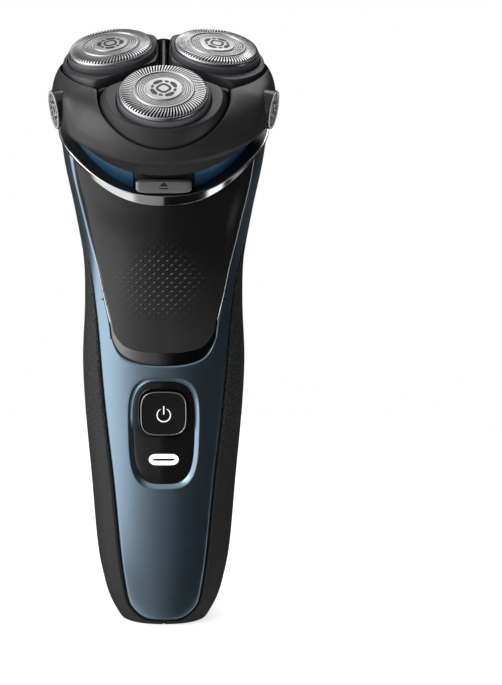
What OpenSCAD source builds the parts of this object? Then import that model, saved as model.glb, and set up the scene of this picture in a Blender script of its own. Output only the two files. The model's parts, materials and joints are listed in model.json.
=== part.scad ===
// Rotary electric shaver: three flexing cutting heads on a tilted, flip-open
// shaving unit, with an upright handle that holds the drive, the cell and a
// pop-up trimmer. Origin: centre of the flat base. +Z up, front faces -Y.

/* [Head] */
// Tilt of the shaving head towards the front, degrees
head_tilt = 35; // [34:0.5:36]
// Height of the head's centre point above the base
head_z = 154; // [153:0.5:156]
// Outer radius of one guard
guard_r = 11.4; // [11:0.1:11.6]
// Distance of each guard's centre from the head axis
guard_orbit = 16.5; // [16.4:0.1:16.6]
// Outward tilt of each guard, degrees
guard_tilt = 7; // [6:0.5:7.5]

/* [Handle] */
// Wall thickness of the two handle shells
wall = 1.8; // [1.6:0.1:2]
// Radius of the handle's round top under the chrome ring
collar_r = 28.4; // [28:0.1:28.8]

/* [Drive] */
// Tooth module of the gear train
tooth_module = 0.5; // [0.5]
// Teeth on the motor pinion (a multiple of three)
pinion_teeth = 21; // [21]
// Teeth on each drive gear
gear_teeth = 41; // [41]
// Radius of the gear spindles
spindle_r = 1.2; // [1.1:0.1:1.3]

/* [Controls] */
// Width of the power button
button_w = 12.3; // [11.5:0.1:12.8]
// Height of the power button
button_h = 11.8; // [11:0.1:12.4]
// Height of the power button's centre
button_z = 60.4; // [60:0.1:61]

/* [Trimmer] */
// Width of the pop-up trimmer's arm
trimmer_w = 21; // [20:0.5:22]
// Height of the trimmer's pivot
trimmer_z = 66; // [65.5:0.5:66.5]

/* [Hidden] */
$fn = 64;
eps = 0.02;

// Head frame: centre point, gear orbit, and heights measured along the head axis
head_y = -10;
gear_orbit = tooth_module * (pinion_teeth + gear_teeth) / 2;
plateau = -2.9;          // holder's top face below the guard's rim
holder_orbit = 13;       // centre of each holder's round outline
holder_r = 17.3;
holder_floor = -9;
cover_gap = 0.5;
cover_floor = -10;
lip_low = -17.2;         // lowest edge of the flip-open cover
deck_top = -21.8;
ring_top = -24;
ring_low = -26.2;
gear_top = -23.9;
gear_low = -26.1;
plate_top = -27.2;
motor_top = -28.6;
motor_len = 17;
motor_r = 7.75;
pinion_bore = 1;
knob_low = -7.9;
knob_top = -6.3;
hinge_y = 27.3;          // hinge axis behind the head axis
hinge_h = -17.6;
pin_r = 0.8;

// Handle sections: tables of [height of the section's centre, value]
top_s = head_z + ring_low * cos(head_tilt);
half_width = [
    [0, 12], [2, 13.2], [5.5, 15], [10, 16.5], [20, 18.5], [40, 20.2], [60, 21.9],
    [74, 22.5], [90, 21.9], [103, 22.3], [115, 24.4], [125, 26.8], [top_s, collar_r]
];
half_depth = [
    [0, 9.2], [2, 10.6], [5.5, 12.2], [10, 13.4], [20, 14.6], [40, 15.6], [75, 16.3],
    [95, 18], [115, 23], [top_s, collar_r]
];
centre_y = [
    [0, 0], [10, 0], [40, 0.2], [75, 0.7], [95, 2], [115, 4.4],
    [top_s, head_y - ring_low * sin(head_tilt)]
];
section_tilt = [[0, 0], [60, 0], [80, 4], [95, 12], [115, 25], [top_s, head_tilt]];
squareness = [[0, 2.3], [10, 2.4], [100, 2.4], [top_s, 2]];

// Seam between the shells and the panel's edge, in degrees round from the front
seam_table = [[6.5, 37], [20, 37.3], [40, 40], [62, 44.5], [77, 48.5], [91, 57], [104, 67],
              [115, 84], [top_s, 106]];
panel_table = [[0, 31.8], [60, 31.8], [82.5, 35], [98.6, 46.8], [115, 54], [top_s, 59]];
blue_low = 1.3;          // lowest point of the front shell
blue_corner = 5.2;       // rise of its lower edge towards the corners
trim_low = 74.6;         // lowest point of the panel's trim
trim_corner = 8;
panel_drop = 0.7;        // depth of the panel in its trim
trim_back = 1.1;

// Controls on the front
panel_z = 55;            // centre of the control capsule
panel_face = -14.9;
capsule_w = 16.6;
capsule_h = 27.8;
button_face = -15.5;
light_z = 47.8;

// Trimmer on the back
trimmer_y = 14.1;        // pivot axis
trimmer_len = 34;
trimmer_lean = 5;        // lean of the back wall there, degrees

// ---------- shared functions ----------
function clamp(x, low = 0, high = 1) = max(low, min(high, x));
function mix(a, b, k) = a + (b - a) * k;
function span(t, p, i = 0) = i >= len(p) - 2 || t < p[i + 1][0] ? i : span(t, p, i + 1);
// Smooth curve through a table of [key, value] pairs: a cubic whose slope at
// each pair is the slope between its two neighbours
function curve(t, p) =
    let (
        i = span(t, p), a = p[max(i - 1, 0)], b = p[i], c = p[i + 1],
        d = p[min(i + 2, len(p) - 1)], w = c[0] - b[0], k = clamp((t - b[0]) / w),
        m1 = w * (c[1] - a[1]) / (c[0] - a[0]), m2 = w * (d[1] - b[1]) / (d[0] - b[0])
    )
    b[1] * (2 * k ^ 3 - 3 * k ^ 2 + 1) + m1 * (k ^ 3 - 2 * k ^ 2 + k)
        + c[1] * (3 * k ^ 2 - 2 * k ^ 3) + m2 * (k ^ 3 - k ^ 2);
function signed_pow(x, e) = sign(x) * abs(x) ^ e;
// Point on the handle's skin: section s, angle round from the front, inset inwards
function skin(s, angle, inset = 0) =
    let (
        e = 2 / curve(s, squareness), lean = curve(s, section_tilt),
        out = (curve(s, half_depth) - inset) * signed_pow(cos(angle), e)
    )
    [
        (curve(s, half_width) - inset) * signed_pow(sin(angle), e),
        curve(s, centre_y) - out * cos(lean),
        s - out * sin(lean)
    ];
// Point on the back of the skin at section s and sideways distance x
function back_point(x, s) =
    let (
        n = curve(s, squareness), lean = curve(s, section_tilt),
        out = curve(s, half_depth) * (1 - abs(x / curve(s, half_width)) ^ n) ^ (1 / n)
    )
    [x, curve(s, centre_y) + out * cos(lean), s + out * sin(lean)];
// Seam angle at section s; below the front shell it closes at the front
function seam(s) =
    s <= blue_low ? 0
    : s < blue_low + blue_corner ? seam_table[0][1] * ((s - blue_low) / blue_corner) ^ 0.25
    : curve(s, seam_table);

// Closed solid between two grids of points with the same rows and columns
module sheet_solid(outer, inner) {
    rows = len(outer);
    cols = len(outer[0]);
    n = rows * cols;
    function quad(a, b, c, d) = [[a, b, c], [a, c, d]];
    skin_faces = [for (i = [0:rows - 2], j = [0:cols - 2])
        let (a = i * cols + j, b = a + 1, c = b + cols, d = a + cols)
            each concat(quad(a, d, c, b), quad(n + a, n + b, n + c, n + d))];
    end_faces = [for (j = [0:cols - 2])
        let (a = j, b = j + 1, c = (rows - 1) * cols + j, d = c + 1)
            each concat(quad(a, b, n + b, n + a), quad(c, n + c, n + d, d))];
    side_faces = [for (i = [0:rows - 2])
        let (a = i * cols, b = a + cols, c = a + cols - 1, d = c + cols)
            each concat(quad(a, n + a, n + b, b), quad(c, d, n + d, n + c))];
    polyhedron(
        concat([for (r = outer) each r], [for (r = inner) each r]),
        concat(skin_faces, end_faces, side_faces)
    );
}

module head_frame() {
    translate([0, head_y, head_z]) rotate([head_tilt, 0, 0]) children();
}
module head_turn(i) {
    head_frame() rotate([0, 0, 120 * (i - 1)]) children();
}
module guard_frame(i) {
    head_turn(i) translate([0, -guard_orbit, 0]) rotate([guard_tilt, 0, 0]) children();
}
// Ring between two radii and two heights
module ring(r_in, r_out, low, high) {
    translate([0, 0, low]) difference() {
        cylinder(r = r_out, h = high - low);
        translate([0, 0, -1]) cylinder(r = r_in, h = high - low + 2);
    }
}
module revolve(points) {
    rotate_extrude($fn = 96) polygon(points);
}
// Outline with straight sides and rounded corners, extruded towards +Y
module front_block(w, h, corner, y0, y1, z) {
    translate([0, y1, z]) rotate([90, 0, 0]) linear_extrude(y1 - y0) rounded(w, h, corner);
}
module rounded(w, h, corner) {
    square([w - 2 * corner, h], center = true);
    square([w, h - 2 * corner], center = true);
    for (x = [-1, 1], y = [-1, 1])
        translate([x * (w / 2 - corner), y * (h / 2 - corner)]) circle(corner, $fn = 32);
}

// ---------- handle shells ----------
shell_rows = [0, 0.06, 0.15, 0.3, 0.45, 0.6, 0.72, 0.84, 0.94, 1, 1.002, 1.1, 1.22, 1.35, 1.48,
              1.6, 1.72, 1.82, 1.92, 2];
trim_cols = [-1, -0.97, -0.95, -0.88, for (w = [-0.8:0.2:0.8]) w, 0.88, 0.95, 0.97, 1];
shell_cols = concat([for (w = [-2:0.25:-1.25]) w, -1.02], trim_cols, [1.02, for (w = [1.25:0.25:2]) w]);
seam_gap = 0.35;         // half the gap between the shells, in degrees
// Height of the trim's lower edge at column w (1 is the panel's side edge)
function trim_edge(w) = trim_low + trim_corner * clamp(abs(w)) ^ 6;
function shell_section(row, w) =
    let (
        q = abs(w) < 1 ? abs(w) * 0.86 : 0.86 + 0.14 * (abs(w) - 1),
        low = blue_low + 0.2 + blue_corner * q ^ 4
    )
    row < 1 ? mix(low, trim_edge(w), row) : mix(trim_edge(w), top_s, row - 1);
function shell_point(row, w, inset) =
    let (
        s = shell_section(row, w), side = curve(s, panel_table), edge = seam(s) - seam_gap,
        angle = abs(w) < 1 ? w * side : sign(w) * mix(side, edge, abs(w) - 1)
    )
    skin(s, angle, inset);
module front_shell() {
    color([0.27, 0.36, 0.45]) difference() {
        sheet_solid(
            [for (r = shell_rows) [for (w = shell_cols)
                shell_point(r, w, r > 1 && abs(w) < 1.01 ? trim_back + 0.15 : 0)]],
            [for (r = shell_rows) [for (w = shell_cols) shell_point(r, w, wall + 0.6)]]
        );
        front_block(capsule_w + 0.2, capsule_h + 0.2, 6.6, -22, -10, panel_z);
    }
}
rear_heights = [0, 0.7, 1.25, 1.45, 1.9, 2.7, 3.8, 5.2, 6.6, 9, 13, 19, 27, 36, 46, 56, 66, 76,
                85, 93, 100, 107, 113, 119, 125, 129, top_s];
module rear_shell() {
    columns = 36;
    function rear_point(s, k, inset) =
        let (edge = seam(s) + seam_gap) skin(s, mix(edge, 360 - edge, k / columns), inset);
    color([0.09, 0.09, 0.09]) difference() {
        union() {
            sheet_solid(
                [for (s = rear_heights) [for (k = [0:columns]) rear_point(s, k, 0)]],
                [for (s = rear_heights) [for (k = [0:columns]) rear_point(s, k, wall)]]
            );
            linear_extrude(base_plate) polygon([for (a = [0:10:350])
                [for (c = [0, 1]) skin(0, a, wall / 2)[c]]]);
            for (p = screw_points) rod_back(p, boss_y, p[1] - 1.2, 3);
        }
        socket_well(socket_w + 2, socket_d + 2, -1, 8);
        trimmer_pocket(0.3);
        slider_slot(0.3);
        for (p = screw_points) {
            rod_back(p, 0, 40, screw_r);
            rod_back(p, p[1] - head_sink, 40, 2.2);
        }
    }
}
screw_points = [for (x = [-10.5, 10.5]) back_point(x, 18), for (x = [-15.5, 15.5]) back_point(x, 100)];
screw_r = 1.1;
base_plate = 1.3;        // thickness of the flat base
head_sink = 2.6;         // depth of a screw head's seat below the skin
boss_y = 3;              // plane where the rear shell's bosses meet the chassis
// Round rod along +Y from y0 to y1 at a screw's place
module rod_back(p, y0, y1, r) {
    translate([p[0], y0, p[2]]) rotate([-90, 0, 0]) cylinder(r = r, h = y1 - y0);
}
module shell_screws() {
    color("silver") for (p = screw_points) translate([p[0], 0, p[2]]) rotate([-90, 0, 0]) {
        seat = p[1] - head_sink;
        translate([0, 0, -2]) cylinder(r = screw_r, h = seat + 2);
        translate([0, 0, seat]) difference() {
            cylinder(r = 2.1, h = 1.2);
            translate([0, 0, 0.6]) cylinder(r = 0.8, h = 1, $fn = 6);
        }
    }
}

// ---------- panel and trim on the front ----------
panel_rows = [0, 0.065, 0.075, 0.15, 0.25, 0.35, 0.45, 0.55, 0.65, 0.75, 0.85, 0.93, 1];
function panel_point(row, w, inset) =
    let (s = mix(trim_edge(w) + 0.15, top_s, row))
        skin(s, w * (curve(s, panel_table) - 0.2), inset);
module panel_trim() {
    color([0.05, 0.05, 0.05]) sheet_solid(
        [for (r = panel_rows) [for (w = trim_cols)
            panel_point(r, w, r > 0.07 && abs(w) < 0.96 ? panel_drop + 0.05 : -0.02)]],
        [for (r = panel_rows) [for (w = trim_cols) panel_point(r, w, trim_back)]]
    );
}
module front_panel() {
    rows = [for (r = panel_rows) if (r > 0.07) r + (r < 0.08 ? 0.003 : 0)];
    cols = [-0.94, for (w = trim_cols) if (abs(w) < 0.9) w, 0.94];
    color([0.1, 0.1, 0.1]) sheet_solid(
        [for (r = rows) [for (w = cols) panel_point(r, w, 0)]],
        [for (r = rows) [for (w = cols) panel_point(r, w, panel_drop)]]
    );
}

// ---------- handle top ----------
module collar_ring() {
    color([0.8, 0.8, 0.82]) head_frame() revolve([
        [27.4, ring_low + eps], [28.4, ring_low + eps], [28.9, ring_low + 1.1], [28.8, ring_top],
        [27.4, ring_top]
    ]);
}
module collar_deck() {
    color([0.06, 0.06, 0.06]) head_frame() difference() {
        union() {
            revolve([
                [0, -23.1], [26.6, -23.1], [26.6, -25.4], [27.3, -25.4], [27.3, ring_top + eps],
                [28.5, ring_top + eps], [27.6, -23], [25.7, deck_top], [0, deck_top]
            ]);
            for (x = [-1, 1]) hinge_ear(x);
        }
        for (i = [1:3]) rotate([0, 0, 120 * (i - 1)]) translate([0, -gear_orbit, -24])
            cylinder(r = spindle_r + 0.05, h = 4);
        rotate([0, 90, 0]) translate([-hinge_h, hinge_y, -10]) cylinder(r = pin_r, h = 20);
        rotate([-head_tilt, 0, 0]) translate([0, -head_y, -head_z]) release_pocket();
    }
}
module hinge_ear(side) {
    translate([side > 0 ? 5.4 : -8, 0, 0]) {
        translate([0, hinge_y, hinge_h]) rotate([0, 90, 0]) cylinder(r = 1.6, h = 2.6);
        translate([0, hinge_y - 1.6, -23.5]) cube([2.6, 3.2, 23.5 + hinge_h]);
    }
}
module hinge_pin() {
    color("silver") head_frame() translate([-7.9, hinge_y, hinge_h]) rotate([0, 90, 0])
        cylinder(r = pin_r, h = 15.8);
}
module hair_chamber() {
    color([0.13, 0.3, 0.48]) head_frame() difference() {
        revolve([
            [0, -19.5], [23.4, -19.5], [23.4, deck_top + 0.05], [25, deck_top + 0.05], [25, -15],
            [24, -14.6], [23.6, -18.3], [0, -18.3]
        ]);
        for (i = [1:3]) rotate([0, 0, 120 * (i - 1)]) translate([0, -gear_orbit, -20])
            cylinder(r = spindle_r + 0.6, h = 4);
        rotate([-head_tilt, 0, 0]) translate([0, -head_y, -head_z]) release_pocket();
    }
}
module deck_seal() {
    color([0.2, 0.2, 0.2]) head_frame() translate([0, 0, -20.9]) rotate_extrude()
        translate([22.4, 0]) circle(0.8, $fn = 24);
}

// ---------- controls ----------
module superellipse_plate(w, h, y0, y1, z) {
    translate([0, y1, z]) rotate([90, 0, 0]) linear_extrude(y1 - y0) polygon([for (a = [0:7.5:352.5])
        [w / 2 * signed_pow(cos(a), 0.5), h / 2 * signed_pow(sin(a), 0.5)]]);
}
module control_panel() {
    color([0.03, 0.03, 0.03]) difference() {
        front_block(capsule_w, capsule_h, 6.5, panel_face, panel_face + 1.8, panel_z);
        superellipse_plate(button_w + 1.2, button_h + 1.2, -20, -10, button_z);
        front_block(8.3, 3.4, 1.65, -20, -10, light_z);
    }
}
module power_button() {
    color([0.12, 0.12, 0.12]) {
        superellipse_plate(button_w - 0.8, button_h - 0.8, button_face, -12.6, button_z);
        translate([0, -12.7, button_z]) rotate([-90, 0, 0]) cylinder(r = 1.6, h = 1.2);
    }
}
module button_ring() {
    color([0.75, 0.75, 0.78]) difference() {
        superellipse_plate(button_w, button_h, button_face - 0.1, -13.4, button_z);
        superellipse_plate(button_w - 0.78, button_h - 0.78, -20, -10, button_z);
    }
}
module light_window() {
    color([0.95, 0.95, 0.95]) front_block(8.1, 3.2, 1.55, panel_face - 0.1, -12.9, light_z);
}
release_z = 120.9;       // centre of the release button
release_y = -20.1;
module release_button() {
    color([0.4, 0.4, 0.41]) {
        front_block(14.4, 4.1, 1.2, release_y, release_y + 1, release_z);
        front_block(9, 2, 0.5, release_y + 0.9, release_y + 2.2, release_z + 0.4);
    }
}
module release_pocket() {
    front_block(15, 4.7, 1.3, -26, release_y + 2, release_z);
    front_block(9.6, 2.6, 0.6, -22, release_y + 3.2, release_z + 0.4);
}

// ---------- inside the handle ----------
board_y = -9.6;
module circuit_board() {
    color([0.1, 0.35, 0.2]) {
        front_block(26, 62, 2, board_y, board_y + 1.2, 68);
        translate([-4, board_y + 1.1, 78]) cube([8, 1.2, 6]);
        translate([6, board_y + 1.1, 48]) cube([5, 2, 9]);
    }
}
module tact_switch() {
    color([0.6, 0.6, 0.62]) {
        translate([-3, board_y - 0.8, button_z - 3]) cube([6, 0.8, 6]);
        translate([0, board_y - 0.7, button_z]) rotate([90, 0, 0]) cylinder(r = 1.5, h = 0.3);
    }
}
module status_led() {
    color([1, 1, 0.9]) translate([-1.6, board_y - 1.4, light_z - 0.8]) cube([3.2, 1.4, 1.6]);
}
battery_y = 4.5;
battery_r = 7.1;
battery_low = 14.5;
battery_len = 43;
module battery() {
    color([0.2, 0.5, 0.75]) translate([0, battery_y, battery_low]) {
        cylinder(r = battery_r, h = battery_len);
        translate([0, 0, battery_len]) cylinder(r = 2.8, h = 0.8);
    }
}
module battery_tabs() {
    color("silver") {
        translate([-2, board_y + 1.2, battery_low + battery_len + 0.8]) cube([4, 14, 0.3]);
        translate([-2, board_y + 1.2, battery_low - 0.3]) cube([4, 14, 0.3]);
    }
}
module chassis() {
    plate_y = -6.2;
    plate_low = 13;
    plate_high = 109;
    color([0.75, 0.75, 0.72]) difference() {
        union() {
            front_block(26, plate_high - plate_low, 3, plate_y, plate_y + 1.6, (plate_high + plate_low) / 2);
            for (z = [22, 46]) translate([-9.4, plate_y + 1, z]) cube([18.8, 11, 3]);
            for (x = [-12, 10.4]) translate([x, board_y + 1.2, 96]) cube([1.6, 3.4, 3]);
            for (p = screw_points) rod_back(p, plate_y + 1, boss_y - 0.1, 2.6);
        }
        translate([0, battery_y, battery_low - 1]) cylinder(r = battery_r + 0.1, h = battery_len + 6);
        for (p = screw_points) rod_back(p, -2.2, 20, screw_r);
        for (z = [battery_low - 0.3, battery_low + battery_len + 0.8])
            translate([-2.6, plate_y - 1, z - 0.8]) cube([5.2, 4, 1.8]);
    }
}
module gear_plate() {
    color([0.8, 0.8, 0.78]) head_frame() difference() {
        union() {
            translate([0, 0, motor_top + 0.05]) cylinder(r = 24.3, h = plate_top - motor_top - 0.05);
            ring(motor_r + 0.1, motor_r + 1.5, motor_top - 6, motor_top + 0.2);
        }
        translate([0, 0, -40]) cylinder(r = 2.6, h = 20);
        for (i = [1:3]) rotate([0, 0, 120 * (i - 1)]) translate([0, -gear_orbit, -40])
            cylinder(r = spindle_r + 0.05, h = 20);
    }
}
module motor() {
    color([0.7, 0.71, 0.73]) head_frame() {
        difference() {
            translate([0, 0, motor_top - motor_len]) cylinder(r = motor_r, h = motor_len);
            translate([0, 0, motor_top - motor_len + 1.2]) cylinder(r = motor_r - 1, h = motor_len - 2.4);
            translate([0, 0, motor_top - motor_len - 1]) cylinder(r = pinion_bore + 0.05, h = 40);
        }
        difference() {
            ring(pinion_bore + 0.05, 2.4, motor_top - eps, motor_top + 0.9);
            translate([0, 0, -60]) cylinder(r = pinion_bore + 0.05, h = 60);
        }
    }
}
module motor_shaft() {
    color("silver") head_frame() translate([0, 0, motor_top - motor_len + 0.1])
        cylinder(r = pinion_bore, h = motor_len - 0.1 + gear_top + 0.5 - motor_top);
}
module armature() {
    color([0.7, 0.4, 0.2]) head_frame() difference() {
        translate([0, 0, motor_top - motor_len + 3]) cylinder(r = motor_r - 1.6, h = 10);
        for (a = [0:120:240]) rotate([0, 0, a]) translate([3, -0.8, motor_top - motor_len + 2])
            cube([6, 1.6, 12]);
        translate([0, 0, -60]) cylinder(r = pinion_bore, h = 60);
    }
}

// ---------- gears ----------
// Outline of a spur gear: involute flanks of a 20 degree rack, thinned for backlash
pressure = 20;
backlash = 0.12;
function involute(base, r) =
    let (a = acos(min(1, base / r))) tan(a) * 180 / PI - a;
function tooth_half(r, pitch, base, teeth) =
    90 / teeth - backlash / 4 / pitch * 180 / PI + involute(base, pitch) - involute(base, max(r, base));
function gear_outline(teeth) =
    let (
        pitch = tooth_module * teeth / 2, base = pitch * cos(pressure),
        root = pitch - 1.25 * tooth_module, tip = pitch + 0.95 * tooth_module,
        radii = [root, mix(root, tip, 0.35), mix(root, tip, 0.68), tip]
    )
    [for (t = [0:teeth - 1]) let (mid = 360 * t / teeth) each concat(
        [for (r = radii) let (a = mid - tooth_half(r, pitch, base, teeth)) r * [cos(a), sin(a)]],
        [for (k = [3:-1:0]) let (r = radii[k], a = mid + tooth_half(r, pitch, base, teeth))
            r * [cos(a), sin(a)]]
    )];
module pinion() {
    color([0.9, 0.88, 0.8]) head_frame() rotate([0, 0, -90]) translate([0, 0, gear_low])
        difference() {
            linear_extrude(gear_top - gear_low) polygon(gear_outline(pinion_teeth));
            translate([0, 0, -1]) cylinder(r = pinion_bore, h = 6);
        }
}
module drive_gear(i) {
    color([0.93, 0.92, 0.88]) head_turn(i) translate([0, -gear_orbit, gear_low]) difference() {
        rotate([0, 0, 90 + 180 / gear_teeth])
            linear_extrude(gear_top - gear_low) polygon(gear_outline(gear_teeth));
        translate([0, 0, 1.3]) difference() {
            cylinder(r = 8.2, h = 4);
            translate([0, 0, -1]) cylinder(r = 2.6, h = 6);
        }
        translate([0, 0, -1]) cylinder(r = spindle_r, h = 6);
    }
}
module spindle(i) {
    color([0.85, 0.85, 0.87]) head_turn(i) translate([0, -gear_orbit, 0]) {
        translate([0, 0, motor_top + 0.15]) cylinder(r = spindle_r, h = knob_low - motor_top - 0.1);
        translate([0, 0, knob_low]) cylinder(r1 = 1.9, r2 = 1.1, h = knob_top - knob_low, $fn = 6);
    }
}
// Coil spring on the spindle, between the chamber floor and the knob's collar
module spindle_spring(i) {
    turns = 5;
    sides = 6;
    steps = 12;
    low = -17.6;
    high = -9;
    wire = 0.22;
    count = turns * steps;
    function coil_point(k, j) =
        let (a = 360 * k / steps, r = 1.85 + wire * cos(360 * j / sides))
            [r * cos(a), r * sin(a), mix(low, high, k / count) + wire * sin(360 * j / sides)];
    color("silver") head_turn(i) translate([0, -gear_orbit, 0]) polyhedron(
        [for (k = [0:count], j = [0:sides - 1]) coil_point(k, j)],
        concat(
            [for (k = [0:count - 1], j = [0:sides - 1])
                let (a = k * sides + j, b = k * sides + (j + 1) % sides)
                    each [[a, a + sides, b], [b, a + sides, b + sides]]],
            [[for (j = [0:sides - 1]) j]],
            [[for (j = [sides - 1:-1:0]) count * sides + j]]
        )
    );
}

// ---------- flip-open shaving unit ----------
module cover_cutouts() {
    for (i = [0:2]) rotate([0, 0, 120 * i]) translate([0, -holder_orbit, cover_floor])
        cylinder(r = holder_r + cover_gap, h = 20, $fn = 96);
}
module head_cover() {
    color([0.12, 0.12, 0.12]) head_frame() {
        difference() {
            revolve([
                [17, -5.6], [17, -3.8], [26.6, -3.4], [28.3, -3.9], [29.2, -5.1], [29.8, -7],
                [30, -9], [29.9, -11.5], [29.3, -13.5], [28, -15.2], [26.8, -15.5],
                [26.8, lip_low], [25.7, lip_low], [25.9, -12.4], [23.4, -11.3],
                [23.4, cover_floor], [28.2, cover_floor], [28, -7.4], [26.8, -5.6]
            ]);
            cover_cutouts();
            for (x = [-8.5, 4.9]) translate([x, 24, -20]) cube([3.6, 8, 5.2]);
            translate([-8.4, -32, -20]) cube([16.8, 8.6, 3.6]);
            pin_bore();
        }
        difference() {
            union() {
                translate([-4.9, hinge_y, hinge_h]) rotate([0, 90, 0]) cylinder(r = 1.6, h = 9.8);
                translate([-4.9, 25.8, hinge_h]) cube([9.8, 1.8, 2.4]);
            }
            pin_bore();
        }
    }
}
module pin_bore() {
    translate([-9, hinge_y, hinge_h]) rotate([0, 90, 0]) cylinder(r = pin_r + 0.05, h = 18);
}
emblem_azimuth = 71;
module side_emblems() {
    color([0.1, 0.1, 0.1]) head_frame() for (side = [-1, 1])
        rotate([0, 0, side * emblem_azimuth]) translate([0, 0, -9.6]) rotate([90, 0, 0]) difference() {
            translate([0, 0, 30.05]) cylinder(r = 5.3, h = 0.95);
            translate([0, 0, 30.7]) ring(3.9, 4.6, 0, 1);
        }
}
module retaining_frame() {
    color([0.22, 0.22, 0.23]) head_frame() difference() {
        union() {
            translate([0, 0, -12.9]) cylinder(r = 24.6, h = 0.6);
            translate([0, 0, -12.4]) cylinder(r = 23.2, h = 0.8);
            ring(20.5, 23.2, -12, -10.9);
        }
        for (i = [0:2]) rotate([0, 0, 120 * i]) translate([0, -gear_orbit, -20])
            cylinder(r = 7.6, h = 30);
        translate([0, 0, -20]) cylinder(r = 2.6, h = 30);
    }
}
module frame_lock() {
    color([0.85, 0.85, 0.85]) head_frame() {
        translate([0, 0, -12.9]) cylinder(r = 2.5, h = 2.2);
        translate([0, 0, -14.5]) cylinder(r = 4, h = 1.5);
        translate([-3.4, -0.6, -16.2]) cube([6.8, 1.2, 1.8]);
    }
}

// ---------- the three flexing heads ----------
module head_holder(i) {
    far = 60;
    color([0.11, 0.11, 0.11]) head_turn(i) difference() {
        intersection() {
            revolve([
                [0, holder_floor], [30, holder_floor], [29.7, -6.5], [28.9, -4.4], [28, -3],
                [26.5, -1.8], [24, 1], [0, 1]
            ]);
            translate([0, -holder_orbit, 0]) revolve([
                [0, holder_floor - 1], [holder_r, holder_floor - 1], [holder_r, -3.3],
                [15.6, -1.9], [15.4, 2], [0, 2]
            ]);
            translate([0, -0.6, holder_floor - 1]) linear_extrude(12) polygon([
                [0, 0], [far * sin(60), -far * cos(60)], [-far * sin(60), -far * cos(60)]
            ]);
        }
        translate([0, -guard_orbit, 0]) rotate([guard_tilt, 0, 0]) {
            translate([-40, -40, plateau]) cube([80, 80, 20]);
            translate([0, 0, -20]) cylinder(r = guard_r + 0.75, h = 30);
        }
    }
}
module guard_skirt(i) {
    color([0.36, 0.36, 0.39]) guard_frame(i) difference() {
        union() {
            ring(guard_r - 0.5, guard_r + 0.5, -4.6, -1.3);
            ring(guard_r - 0.5, guard_r + 0.74, -6.2, -4.5);
        }
        translate([0, 0, -3]) cylinder(r = guard_r + 0.01, h = 5);
    }
}
module guard(i) {
    color([0.85, 0.85, 0.86]) guard_frame(i) revolve([
        [0, -0.45], [6.9, -0.45], [7.3, -0.75], [10.7, -0.75], [10.7, -3], [guard_r, -3],
        [guard_r, -0.6], [11, -0.1], [10.6, 0], [8, 0], [7.8, 0.25], [7.5, 0.25], [7.3, -0.05],
        [5, 0.2], [4.8, 0.3], [0, 0.3]
    ]);
}
blade_count = 9;
module cutter(i) {
    color([0.7, 0.7, 0.72]) guard_frame(i) {
        difference() {
            union() {
                translate([0, 0, -3.6]) cylinder(r = 9.9, h = 1);
                translate([0, 0, -7.6]) cylinder(r = 3.6, h = 4.2);
                for (k = [0:blade_count - 1]) rotate([0, 0, 360 * k / blade_count])
                    translate([7.9, -0.35, -2.7]) cube([2.3, 0.7, 1.85]);
            }
            translate([0, 0, -7.7]) cylinder(r1 = 2.7, r2 = 1.8, h = 2.1, $fn = 6);
            for (k = [0:2]) rotate([0, 0, 120 * k + 60]) translate([6, 0, -4]) cylinder(r = 1.5, h = 2);
        }
    }
}

// ---------- pop-up trimmer ----------
module trimmer_frame() {
    translate([0, trimmer_y, trimmer_z]) rotate([-trimmer_lean, 0, 0]) children();
}
arm_back = 2.9;          // outer face of the arm behind its pivot
module trimmer_pocket(gap) {
    trimmer_frame() translate([-trimmer_w / 2 - gap - 1.2, -2.4 - gap - 1.2, -3.4 - gap - 1.2])
        cube([trimmer_w + 2 * gap + 2.4, 20, trimmer_len + 7 + 2 * gap + 2.4]);
}
crown_r = 44;            // radius across the back of the trimmer
module crowned() {
    intersection() {
        children();
        translate([0, arm_back - crown_r, -10]) cylinder(r = crown_r, h = trimmer_len + 20, $fn = 128);
    }
}
module trimmer_housing() {
    inner_w = trimmer_w + 0.8;
    color([0.08, 0.08, 0.08]) trimmer_frame() crowned() difference() {
        translate([-trimmer_w / 2 - 1.4, -3.8, -4.8]) cube([trimmer_w + 2.8, 6.6, trimmer_len + 9.6]);
        translate([-inner_w / 2, -2.4, -3.4]) cube([inner_w, 20, trimmer_len + 6.8]);
        translate([-trimmer_w / 2 - 0.9, 0, 0]) rotate([0, 90, 0]) cylinder(r = pin_r, h = trimmer_w + 1.8);
    }
}
module trimmer_arm() {
    color([0.1, 0.1, 0.1]) trimmer_frame() crowned() difference() {
        union() {
            rotate([0, 90, 0]) translate([0, 0, -trimmer_w / 2]) cylinder(r = 2, h = trimmer_w);
            translate([-trimmer_w / 2, 0.4, 0]) cube([trimmer_w, arm_back - 0.4, trimmer_len - 1.5]);
            translate([-trimmer_w / 2, -1.8, 0]) cube([trimmer_w, 2.4, trimmer_len - 8]);
        }
        translate([-trimmer_w / 2 - 1, 0, 0]) rotate([0, 90, 0])
            cylinder(r = pin_r + 0.05, h = trimmer_w + 2);
        for (x = [-7, 0, 7]) translate([x - 2.6, -3, 5]) cube([5.2, 3.2, 18]);
    }
}
module trimmer_pin() {
    color("silver") trimmer_frame() translate([-trimmer_w / 2 - 0.8, 0, 0]) rotate([0, 90, 0])
        cylinder(r = pin_r, h = trimmer_w + 1.6);
}
comb_teeth = 18;
module comb_row(w, y0, thick, low, root, tip, tooth) {
    pitch = w / comb_teeth;
    translate([-w / 2, y0, low]) cube([w, thick, root - low]);
    for (k = [0:comb_teeth - 1])
        translate([-w / 2 + (k + 0.5) * pitch - tooth / 2, y0, root - 0.1]) cube([tooth, thick, tip - root]);
}
module trimmer_comb() {
    color("silver") trimmer_frame()
        comb_row(trimmer_w - 1, -0.45, 0.85, trimmer_len - 7.8, trimmer_len - 1.4, trimmer_len + 1.4, 0.6);
}
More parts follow.
